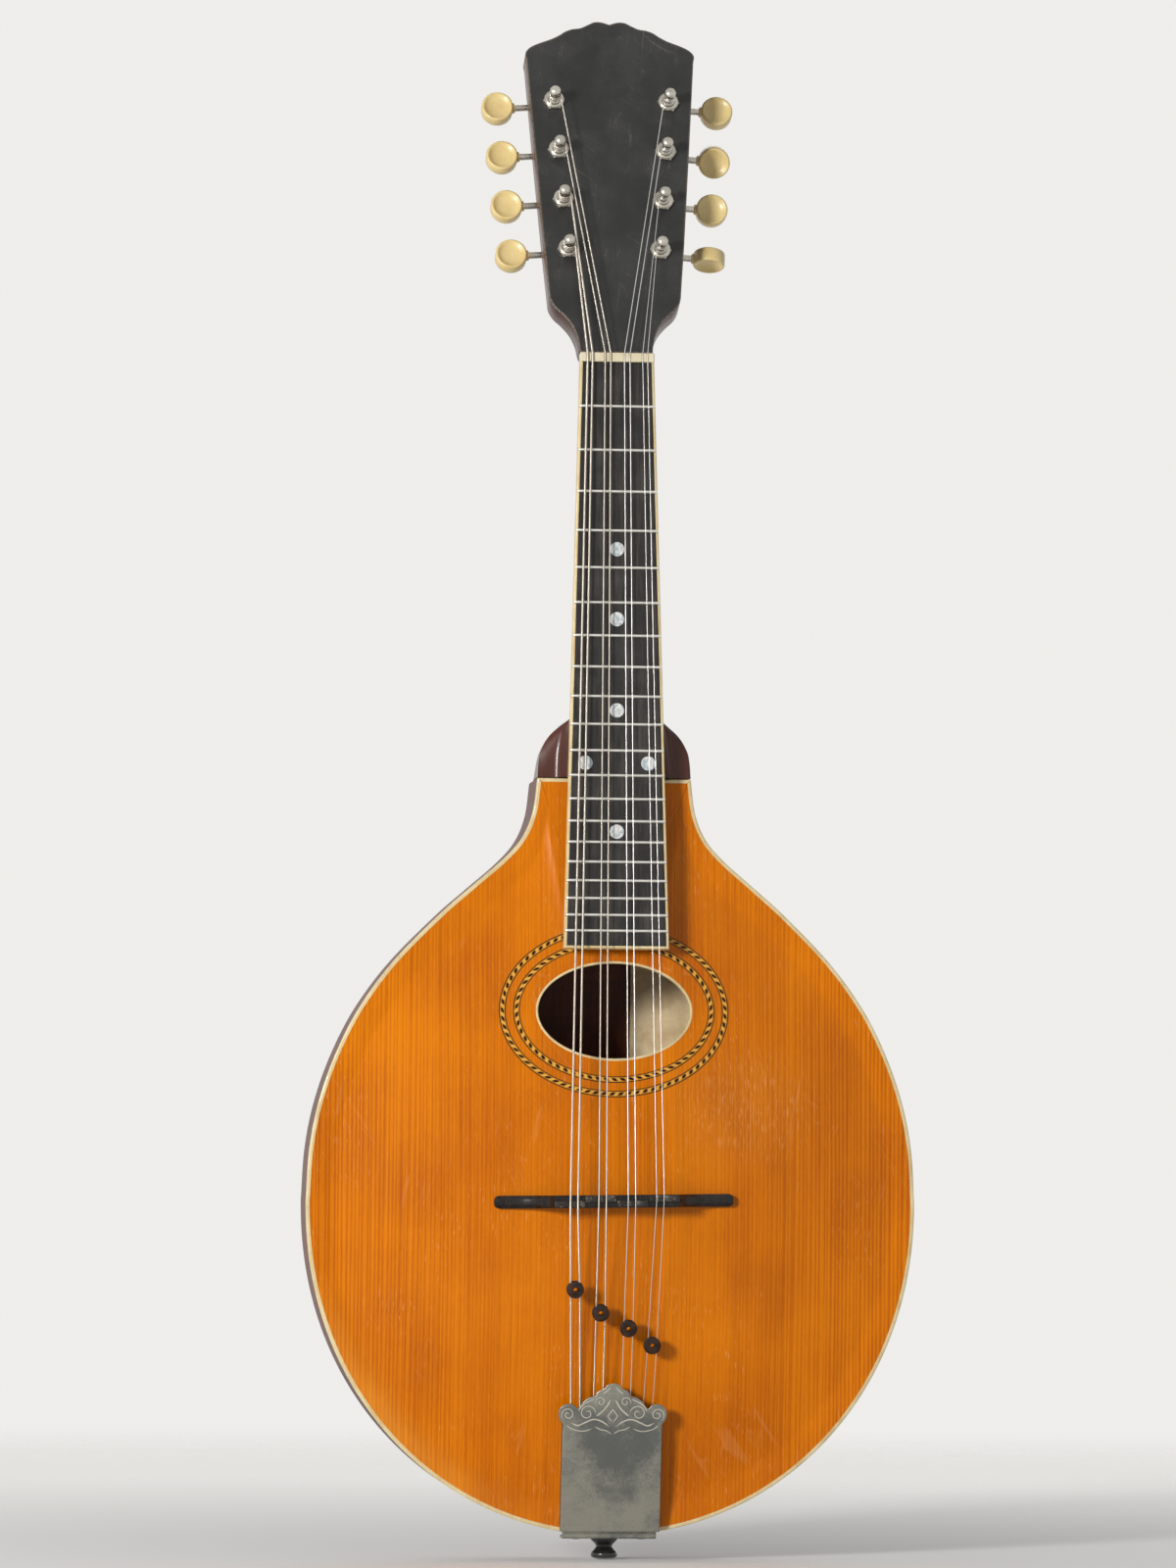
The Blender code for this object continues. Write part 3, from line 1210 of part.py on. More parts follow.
TUNERS = tuner_frames()
SEATING = front_seat()
body_shell()
neck()
fingerboard()
nut_and_riser()
tuners()
bridge()
tailpiece()
tail_cover()
end_pin()
strings()
grommets()
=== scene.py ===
"""Looks of a carved, pear-shaped, oval-hole mandolin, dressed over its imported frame.

Shapes are worked out in millimetres in the working frames of the instrument: x runs across to
the treble side, the second axis runs up towards the crest of the headstock, and the third
axis stands out of the front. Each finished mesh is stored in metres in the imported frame.
"""
import logging
import math
from dataclasses import dataclass, field
from enum import Enum
from functools import cached_property

import bpy
import numpy as np
from mathutils import Matrix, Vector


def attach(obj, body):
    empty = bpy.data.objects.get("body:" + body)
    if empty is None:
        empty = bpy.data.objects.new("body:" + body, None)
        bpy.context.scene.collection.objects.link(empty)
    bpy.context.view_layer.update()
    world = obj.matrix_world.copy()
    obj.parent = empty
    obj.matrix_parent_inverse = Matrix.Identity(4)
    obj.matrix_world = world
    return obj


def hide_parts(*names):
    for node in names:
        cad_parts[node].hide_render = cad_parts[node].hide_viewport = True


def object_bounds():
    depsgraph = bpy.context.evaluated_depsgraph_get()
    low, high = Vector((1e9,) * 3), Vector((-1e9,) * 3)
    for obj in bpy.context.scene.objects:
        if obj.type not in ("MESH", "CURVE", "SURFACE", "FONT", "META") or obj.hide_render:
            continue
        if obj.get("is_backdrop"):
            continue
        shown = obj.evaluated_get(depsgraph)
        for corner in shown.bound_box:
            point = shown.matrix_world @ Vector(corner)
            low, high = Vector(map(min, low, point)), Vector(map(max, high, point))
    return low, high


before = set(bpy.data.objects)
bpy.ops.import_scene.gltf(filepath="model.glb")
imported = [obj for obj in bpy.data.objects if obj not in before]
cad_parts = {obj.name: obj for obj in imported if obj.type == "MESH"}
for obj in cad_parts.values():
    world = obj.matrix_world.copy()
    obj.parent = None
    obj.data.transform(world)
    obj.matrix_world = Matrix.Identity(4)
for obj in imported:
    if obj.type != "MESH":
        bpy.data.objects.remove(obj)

log = logging.getLogger("mandolin")
Colour = tuple[float, float, float]
TURN = 2 * math.pi


class Side(Enum):
    """The two rows of tuning machines, by the hand that they stand on."""

    TREBLE = 1
    BASS = -1

    @property
    def tag(self) -> str:
        """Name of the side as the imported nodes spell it."""
        return self.name.lower()


# Working frames


def turn_about(axis: str, angle: float) -> np.ndarray:
    """A turn as a 4 by 4 matrix.

    Args:
        axis: "x", "y" or "z".
        angle: the turn in radians.

    Returns:
        The matrix.
    """
    c, s = math.cos(angle), math.sin(angle)
    matrix = np.eye(4)
    a, b = {"x": (1, 2), "y": (2, 0), "z": (0, 1)}[axis]
    matrix[a, a], matrix[a, b], matrix[b, a], matrix[b, b] = c, -s, s, c
    return matrix


@dataclass(frozen=True)
class Frame:
    """A working frame of the instrument, in millimetres."""

    matrix: np.ndarray

    def child(self, place: tuple[float, float, float], axis: str = "x",
              angle: float = 0.0) -> "Frame":
        """A frame set in this one.

        Args:
            place: origin of the new frame, in this frame.
            axis: axis that the new frame is turned about.
            angle: the turn in radians.

        Returns:
            The new frame.
        """
        step = np.eye(4)
        step[:3, 3] = place
        return Frame(self.matrix @ step @ turn_about(axis, angle))

    def place(self, points: np.ndarray) -> np.ndarray:
        """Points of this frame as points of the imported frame, still in millimetres."""
        return np.asarray(points, float) @ self.matrix[:3, :3].T + self.matrix[:3, 3]

    def local(self, points: np.ndarray) -> np.ndarray:
        """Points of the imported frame, in millimetres, as points of this frame."""
        return (np.asarray(points, float) - self.matrix[:3, 3]) @ self.matrix[:3, :3]


WORLD = Frame(np.eye(4))


@dataclass(frozen=True)
class Layout:
    """Sizes and places that more than one sub-assembly needs, in millimetres."""

    scale: float = 352.4
    tail: float = -4.5
    hole: tuple = (0.0, 213.7)
    nut_line: tuple = (0.0, 1.05, 487.7)
    head_root: tuple = (0.0, 4.05, 489.7)
    hanger: tuple = (0.0, 18.0, 510.0)
    neck_pitch: float = math.radians(3.95)
    head_pitch: float = math.radians(13.4)
    bridge_setback: float = 1.63
    bridge_slant: float = math.radians(0.9)
    saddle_top: float = 27.0
    saddle_thick: float = 2.6
    stagger: float = 1.1
    nut_top: float = 1.4
    cover_low: tuple = (0.0, -2.6, 4.35)
    cover_slope: float = math.atan(0.178)
    post_top: float = 118.6
    post_step: float = 23.15
    post_x: tuple = (24.5, 19.6)
    post_hole: float = 2.68

    @property
    def bridge_z(self) -> float:
        """Height of the bridge above the tail's datum."""
        return self.nut_line[2] - self.scale * math.cos(self.neck_pitch) - self.bridge_setback

    def upright(self, place: tuple, pitch: float) -> Frame:
        """A frame whose second axis points up, leaning back by a pitch in radians."""
        return WORLD.child(np.array(place) - self.hanger, "x", math.pi / 2 - pitch)

    def row_slant(self) -> float:
        """How far each row of posts leans towards the middle, in radians."""
        return math.atan((self.post_x[0] - self.post_x[1]) / (3 * self.post_step))

    def post(self, side: Side, k: int) -> tuple[float, float, float]:
        """Place of a post in the head frame, the first one nearest to the crest."""
        x = self.post_x[0] + (self.post_x[1] - self.post_x[0]) * k / 3
        return side.value * x, self.post_top - self.post_step * k, 0.0


LAYOUT = Layout()
BODY = LAYOUT.upright((0.0, 0.0, 0.0), 0.0)
BOARD = LAYOUT.upright(LAYOUT.nut_line, LAYOUT.neck_pitch)
HEAD = LAYOUT.upright(LAYOUT.head_root, LAYOUT.neck_pitch + LAYOUT.head_pitch)
COVER = BODY.child(LAYOUT.cover_low, "x", LAYOUT.cover_slope)
BRIDGE = BODY.child((0.0, LAYOUT.bridge_z, 0.0), "z", LAYOUT.bridge_slant)
TUNERS = {(side, k): HEAD.child(LAYOUT.post(side, k), "z", -side.value * LAYOUT.row_slant())
          for side in Side for k in range(4)}


@dataclass(frozen=True)
class Course:
    """A pair of strings: gauge, side, and places at the tailpiece, saddle and nut."""

    name: str
    hand: int
    radius: float
    tails: tuple[float, float]
    saddles: tuple[float, float]
    nuts: tuple[float, float]
    grommet: float
    posts: tuple[tuple[Side, int], tuple[Side, int]]
    wound: bool
    rank: int

    @property
    def shift(self) -> float:
        """How far its step of the saddle is set towards the nut."""
        return LAYOUT.stagger * (-1 if self.rank % 2 == 0 else 1)


COURSES = (
    Course("g", -1, 0.475, (16.15, 12.45), (19.45, 16.35), (12.7, 10.6), 0.66,
           ((Side.BASS, 3), (Side.BASS, 2)), True, 0),
    Course("d", -1, 0.325, (7.5, 3.65), (7.65, 4.55), (5.25, 2.9), 0.571,
           ((Side.BASS, 1), (Side.BASS, 0)), True, 1),
    Course("a", 1, 0.19, (3.65, 7.5), (4.55, 7.65), (2.9, 5.25), 0.511,
           ((Side.TREBLE, 0), (Side.TREBLE, 1)), False, 2),
    Course("e", 1, 0.14, (12.45, 16.15), (16.35, 19.45), (10.6, 12.7), 0.446,
           ((Side.TREBLE, 2), (Side.TREBLE, 3)), False, 3))


# Surfaces


def stacked(*columns: np.ndarray | float) -> np.ndarray:
    """Columns of numbers, spread to one shape, as points."""
    return np.stack(np.broadcast_arrays(*columns), -1)


def polar(radius: np.ndarray | float, angle: np.ndarray) -> np.ndarray:
    """Flat points at a radius and an angle in radians."""
    return stacked(radius * np.cos(angle), radius * np.sin(angle))


def raised(flat: np.ndarray, level: np.ndarray | float) -> np.ndarray:
    """Flat points given a height."""
    return stacked(flat[..., 0], flat[..., 1], level)


def unit(vectors: np.ndarray) -> np.ndarray:
    """Vectors made one long."""
    return vectors / np.maximum(np.linalg.norm(vectors, axis=-1, keepdims=True), 1e-12)


def travelled(path: np.ndarray) -> np.ndarray:
    """Distance along a path at each of its points."""
    return np.concatenate([[0], np.cumsum(np.linalg.norm(np.diff(path, axis=0), axis=1))])


def around(steps: int) -> np.ndarray:
    """Angles of equal steps round a circle, in radians."""
    return np.arange(steps) * TURN / steps


@dataclass
class Shape:
    """Points and faces of a closed surface, with any values that its finish reads."""

    points: np.ndarray
    faces: list[np.ndarray]
    marks: dict[str, np.ndarray] = field(default_factory=dict)

    def volume(self) -> float:
        """Signed volume: the sum over all corner fans of a triple product over six.

        Returns:
            The volume, below nought where faces point in.
        """
        total = 0.0
        for group in self.faces:
            p = self.points[group]
            for k in range(1, group.shape[1] - 1):
                total += np.einsum("ij,ij->i", p[:, 0], np.cross(p[:, k], p[:, k + 1])).sum()
        return total / 6

    def outward(self) -> "Shape":
        """The same surface with its faces pointing out.

        Returns:
            The surface.
        """
        if self.volume() < 0:
            return Shape(self.points, [group[:, ::-1] for group in self.faces], self.marks)
        return self

    def moved(self, points: np.ndarray) -> "Shape":
        """The same faces over other points."""
        return Shape(points, self.faces, self.marks)


def joined(*shapes: Shape) -> Shape:
    """Several closed surfaces as one, each turned to face out first.

    Args:
        shapes: the surfaces.

    Returns:
        One surface that holds them all.
    """
    names = sorted({name for shape in shapes for name in shape.marks})
    points, faces, marks, start = [], [], {name: [] for name in names}, 0
    for shape in (s.outward() for s in shapes):
        points.append(shape.points)
        faces += [group + start for group in shape.faces]
        for name in names:
            marks[name].append(shape.marks.get(name, np.zeros(len(shape.points))))
        start += len(shape.points)
    return Shape(np.concatenate(points), faces,
                 {name: np.concatenate(rows) for name, rows in marks.items()})


def skin(rings: np.ndarray, wrap: bool = False, marks: dict | None = None) -> Shape:
    """A surface over rings of points: each point joins its neighbours on its ring and the next.

    Args:
        rings: points as an array of rings, of points on a ring, of three numbers.
        wrap: whether the last ring joins the first; otherwise flat faces close the ends.
        marks: values on the same grid, by name.

    Returns:
        The closed surface.
    """
    rows, cols = rings.shape[:2]
    r, c = np.meshgrid(np.arange(rows if wrap else rows - 1), np.arange(cols), indexing="ij")
    r1, c1 = (r + 1) % rows, (c + 1) % cols
    quads = np.stack([r * cols + c, r * cols + c1, r1 * cols + c1, r1 * cols + c], -1)
    faces = [quads.reshape(-1, 4)]
    if not wrap:
        faces += [np.arange(cols)[None, ::-1], (np.arange(cols) + (rows - 1) * cols)[None]]
    flat = {name: np.broadcast_to(grid, (rows, cols)).ravel() for name, grid in (marks or {}).items()}
    return Shape(rings.reshape(-1, 3), faces, flat)


def inset(line: np.ndarray, distance: float | np.ndarray, closed: bool = True) -> np.ndarray:
    """The line moved to the left of its travel: each point slides along its mean normal.

    Args:
        line: points of a flat line, anticlockwise where it is closed.
        distance: how far it moves, one number or one for each of several copies.
        closed: whether the last point joins the first.

    Returns:
        One line, or an array of lines where several distances are given.
    """
    first, second = line - np.roll(line, 1, 0), np.roll(line, -1, 0) - line
    if not closed:
        first[0], second[-1] = second[0], first[-1]
    n1, n2 = (unit(v)[:, ::-1] * (-1, 1) for v in (first, second))
    mean = unit(n1 + n2)
    mean = mean / np.maximum((mean * n1).sum(1, keepdims=True), 0.5)
    return line + np.multiply.outer(np.asarray(distance, float), mean)


def mirrored(half: np.ndarray) -> np.ndarray:
    """A whole anticlockwise loop from its right half, drawn from the bottom up."""
    left = half[::-1] * (-1, 1)
    return np.concatenate([half, left[np.abs(left[:, 0]) > 1e-6]])


def slab(line: np.ndarray, low: float, high: float, soft: float = 0.3, steps: int = 4,
         under: float | None = None, inner: tuple[float, ...] = ()) -> Shape:
    """A flat outline given thickness, its edges rounded by quarter circles.

    Args:
        line: the outline, anticlockwise.
        low: level of the underside.
        high: level of the upper side.
        soft: radius of the upper edge.
        steps: facets of each rounding.
        under: radius of the lower edge, the same as the upper one if not given.
        inner: distances of further rings on the upper side, towards the outline's middle.

    Returns:
        The slab, marked with each point's distance in from the outline as "rim".
    """
    under = soft if under is None else under
    a = np.linspace(0, math.pi / 2, steps + 1)
    insets = np.concatenate([[under + 0.04], under * (1 - np.sin(a)), soft * (1 - np.cos(a)),
                             [soft + 0.04]])
    levels = np.concatenate([[low], low + under * (1 - np.cos(a)), high - soft * (1 - np.sin(a)),
                             np.full(1 + len(inner), high)])
    loops = inset(line, insets)
    spoke = loops[-1] - (line.min(0) + line.max(0)) / 2
    share = np.multiply.outer(np.array(inner), 1 / np.linalg.norm(spoke, axis=1))
    loops = np.concatenate([loops, loops[-1] - share[..., None] * spoke])
    rim = np.concatenate([np.abs(insets), soft + np.array(inner)])
    return skin(raised(loops, levels[:, None]), marks={"rim": rim[:, None]})


def hoop(line: np.ndarray, section: np.ndarray | list, closed: bool = True,
         lift: np.ndarray | float = 0.0) -> Shape:
    """A section carried along a flat line: inset gives its first number and level its second.

    Args:
        line: the flat line that the section follows.
        section: points of the closed section, as inset and level.
        closed: whether the line closes on itself.
        lift: height added at each point of the line.

    Returns:
        The hoop or strip.
    """
    insets, levels = np.asarray(section, float).T
    flat = np.moveaxis(inset(line, insets, closed), 0, 1)
    return skin(raised(flat, levels + np.broadcast_to(lift, len(line))[:, None]), wrap=closed)


def turned(profile: np.ndarray | list, steps: int = 48, ring: bool = False) -> Shape:
    """A lathe-turned surface: each profile point runs round the third axis at its radius."""
    radius, level = np.asarray(profile, float).T[..., None]
    return skin(raised(polar(radius, around(steps)), level), wrap=ring)


def along(path: np.ndarray, radius: float, sides: int = 8) -> Shape:
    """A round section carried along a path that never runs along the third axis.

    Args:
        path: points of the path.
        radius: the section's radius.
        sides: facets round the section.

    Returns:
        The tube, marked with the distance along it as "run".
    """
    step = unit(np.gradient(path, axis=0))
    across = unit(np.cross(step, (0.0, 0.0, 1.0)))
    up = np.cross(across, step)
    a = around(sides)[:, None]
    ring = radius * (np.cos(a) * across[:, None] + np.sin(a) * up[:, None])
    return skin(path[:, None] + ring, marks={"run": travelled(path)[:, None]})


def smooth_line(points: np.ndarray, parts: int, closed: bool = False) -> np.ndarray:
    """A line through stations by the Catmull-Rom rule: a cubic between each pair.

    Args:
        points: the stations.
        parts: pieces between one station and the next.
        closed: whether the last station joins the first.

    Returns:
        The finer line, with all the stations on it.
    """
    p = np.asarray(points, float)
    ends = (p[-1:], p[:2]) if closed else (2 * p[:1] - p[1:2], 2 * p[-1:] - p[-2:-1])
    q = np.concatenate([ends[0], p, ends[1]])
    f = (np.arange(parts) / parts)[None, :, None]
    a, b, c, d = (q[k:len(q) - 3 + k, None] for k in range(4))
    line = 0.5 * (2 * b + (c - a) * f + (2 * a - 5 * b + 4 * c - d) * f ** 2
                  + (3 * b - a - 3 * c + d) * f ** 3)
    line = line.reshape(-1, p.shape[1])
    return line if closed else np.concatenate([line, p[-1:]])


def evenly(line: np.ndarray, count: int) -> np.ndarray:
    """The same open line as a number of points, equal steps apart.

    Args:
        line: the line.
        count: number of points wanted.

    Returns:
        The evenly parted line.
    """
    gone = travelled(line)
    at = np.linspace(0, gone[-1], count)
    return stacked(*(np.interp(at, gone, column) for column in line.T))


def monotone(xs: np.ndarray, ys: np.ndarray, at: np.ndarray) -> np.ndarray:
    """Cubic between stations that never overshoots: each slope is a harmonic mean.

    Args:
        xs: rising station places.
        ys: station values, one row for each place.
        at: places wanted.

    Returns:
        One row of values for each place wanted.
    """
    h = np.diff(xs)[:, None]
    rise = np.diff(ys, axis=0) / h
    both = rise[:-1] * rise[1:]
    inner = np.where(both > 0, 2 * both / np.where(both > 0, rise[:-1] + rise[1:], 1.0), 0.0)
    slope = np.concatenate([rise[:1], inner, rise[-1:]])
    k = np.clip(np.searchsorted(xs, at, "right") - 1, 0, len(xs) - 2)
    t, w = ((at - xs[k]) / h[k, 0])[:, None], h[k]
    return ((1 + 2 * t) * (1 - t) ** 2 * ys[k] + t * (1 - t) ** 2 * w * slope[k]
            + t * t * (3 - 2 * t) * ys[k + 1] + t * t * (t - 1) * w * slope[k + 1])


def arc(start: float, stop: float, count: int) -> np.ndarray:
    """Points of a unit circle from one angle to another, in degrees."""
    return polar(1.0, np.radians(np.linspace(start, stop, count)))


def screw_head(radius: float, turn: float, steps: int, profile: tuple, slot: tuple) -> np.ndarray:
    """A domed head with a straight slot: the dome is turned, then lowered inside the slot.

    Args:
        radius: radius of the head.
        turn: direction of the slot, in degrees.
        steps: facets round.
        profile: share of the radius and height of each ring, from the seat to the crown.
        slot: half its width, its depth, and the height above which it is cut.

    Returns:
        Rings of points, as two places on the seat and the height above it.
    """
    half, deep, floor = slot
    share, dome = np.array(profile).T[..., None]
    flat = polar(share * radius, around(steps))
    across = flat @ (math.cos(math.radians(turn)), math.sin(math.radians(turn)))
    return raised(flat, dome - deep * ((np.abs(across) < half) & (dome > floor)))


def rounded(low: tuple, high: tuple, soft: float, steps: int = 5) -> np.ndarray:
    """The outline of an upright rectangle with round corners, anticlockwise.

    Args:
        low: its lower left corner.
        high: its upper right corner.
        soft: radius of its corners.
        steps: points on each corner.

    Returns:
        The outline.
    """
    corners = np.array([(high[0], low[1]), (high[0], high[1]), (low[0], high[1]), (low[0], low[1])])
    turn = np.concatenate([arc(-90 + 90 * k, 90 * k, steps) for k in range(4)])
    return np.repeat(inset(corners, soft), steps, 0) + soft * turn


def bar(low: tuple, high: tuple, soft: float) -> Shape:
    """A block between two corners, with rounded edges."""
    return slab(rounded(low, high, soft), low[2], high[2], soft)


# Pieces


def mesh_of(name: str, shape: Shape, place: Frame) -> bpy.types.Mesh:
    """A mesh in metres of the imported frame.

    Args:
        name: name of the mesh.
        shape: the surface, in millimetres of its working frame.
        place: that frame.

    Returns:
        The mesh, with the shape's marks as attributes.
    """
    mesh = bpy.data.meshes.new(name)
    points = (place.place(shape.points) * 0.001).astype(np.float32)
    corners = np.concatenate([group.ravel() for group in shape.faces]).astype(np.int32)
    sizes = np.concatenate([np.full(len(group), group.shape[1]) for group in shape.faces])
    mesh.vertices.add(len(points))
    mesh.vertices.foreach_set("co", points.ravel())
    mesh.loops.add(len(corners))
    mesh.loops.foreach_set("vertex_index", corners)
    mesh.polygons.add(len(sizes))
    starts = np.concatenate([[0], np.cumsum(sizes)[:-1]]).astype(np.int32)
    mesh.polygons.foreach_set("loop_start", starts)
    mesh.update(calc_edges=True)
    for mark, values in shape.marks.items():
        layer = mesh.attributes.new(mark, "FLOAT", "POINT")
        layer.data.foreach_set("value", values.astype(np.float32))
    return mesh


def link(name: str, data: bpy.types.ID, axes: list | None = None,
         place: tuple = (0.0, 0.0, 0.0)) -> bpy.types.Object:
    """Put a mesh, a lamp or a camera in the scene.

    Args:
        name: name of the object.
        data: what it shows.
        axes: its three axes, the scene's own if not given.
        place: where it stands, in metres, if axes are given.

    Returns:
        The object.
    """
    obj = bpy.data.objects.new(name, data)
    bpy.context.scene.collection.objects.link(obj)
    if axes:
        pose = np.eye(4)
        pose[:3, :3], pose[:3, 3] = np.transpose(axes), place
        obj.matrix_world = Matrix(pose.tolist())
    return obj


def make_piece(name: str, shape: Shape, place: Frame, finish: "Finish", body: str = "root",
               stands_for: tuple[str, ...] = (), smooth: float = 40.0) -> bpy.types.Object:
    """A finished piece that rides on a body of the frame.

    Args:
        name: name of the piece.
        shape: its surface.
        place: the working frame that the surface is drawn in.
        finish: its finish.
        body: the body that carries it.
        stands_for: nodes that it is shown in place of.
        smooth: edges sharper than this angle, in degrees, stay sharp.

    Returns:
        The object.
    """
    mesh = mesh_of(name, joined(shape), place)
    mesh.shade_smooth()
    mesh.set_sharp_from_angle(angle=math.radians(smooth))
    mesh.materials.append(finish.material())
    obj = link(name, mesh)
    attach(obj, body)
    if stands_for:
        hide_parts(*stands_for)
    return obj


def drill(obj: bpy.types.Object, places: list[Frame], radius: float, low: float, high: float,
          smooth: float = 40.0) -> None:
    """Bore round holes through a piece.

    Args:
        obj: the piece.
        places: a frame for each hole, whose third axis is the hole's.
        radius: radius of the holes.
        low: lower end of each hole.
        high: upper end of each hole.
        smooth: edges sharper than this angle, in degrees, stay sharp.
    """
    bit = turned([(radius, high), (radius, low)], 40)
    bits = joined(*(bit.moved(place.place(bit.points)) for place in places))
    tool = link("drill", mesh_of("drill", bits, WORLD))
    step = obj.modifiers.new("Drill", "BOOLEAN")
    step.operation, step.solver, step.object = "DIFFERENCE", "EXACT", tool
    bpy.context.view_layer.update()
    graph = bpy.context.evaluated_depsgraph_get()
    mesh = bpy.data.meshes.new_from_object(obj.evaluated_get(graph))
    mesh.set_sharp_from_angle(angle=math.radians(smooth))
    if "rim" in mesh.attributes:
        points, rim = np.empty((len(mesh.vertices), 3), np.float32), np.empty(len(mesh.vertices))
        mesh.vertices.foreach_get("co", points.ravel())
        mesh.attributes["rim"].data.foreach_get("value", rim)
        for place in places:
            away = np.linalg.norm(place.local(points * 1000.0)[:, :2], axis=1)
            rim[away < radius + 0.05] = rim.max()
        mesh.attributes["rim"].data.foreach_set("value", rim)
    obj.modifiers.clear()
    obj.data = mesh
    bpy.data.objects.remove(tool, do_unlink=True)


# Shader maths


class Wire:
    """A node's output that can be used in arithmetic."""

    def __init__(self, bench: "Bench", socket: bpy.types.NodeSocket) -> None:
        """Wrap a socket of one bench."""
        self.bench, self.socket = bench, socket

    def calc(self, operation: str, *others: "Wire | float") -> "Wire":
        """A Math node over this value and others."""
        values = dict(enumerate((self, *others)))
        return self.bench.add("ShaderNodeMath", {"operation": operation}, values)

    def __add__(self, other: "Wire | float") -> "Wire":
        """Sum."""
        return self.calc("ADD", other)

    def __sub__(self, other: "Wire | float") -> "Wire":
        """Difference."""
        return self.calc("SUBTRACT", other)

    def __mul__(self, other: "Wire | float") -> "Wire":
        """Product."""
        return self.calc("MULTIPLY", other)

    def __truediv__(self, other: "Wire | float") -> "Wire":
        """Quotient."""
        return self.calc("DIVIDE", other)

    def __pow__(self, other: "Wire | float") -> "Wire":
        """Power."""
        return self.calc("POWER", other)

    def __rsub__(self, other: float) -> "Wire":
        """A number less this value."""
        return self * -1.0 + other

    __radd__, __rmul__ = __add__, __mul__

    def rise(self, low: float, high: float) -> "Wire":
        """A smooth step from nought at low to one at high."""
        return self.bench.add("ShaderNodeMapRange", {"interpolation_type": "SMOOTHSTEP"},
                              {"Value": self, "From Min": low, "From Max": high})

    def band(self, low: float, high: float, soft: float) -> "Wire":
        """One between two values, nought outside them, with soft edges."""
        return self.rise(low - soft, low + soft) * (1 - self.rise(high - soft, high + soft))


Value = Wire | float | Colour


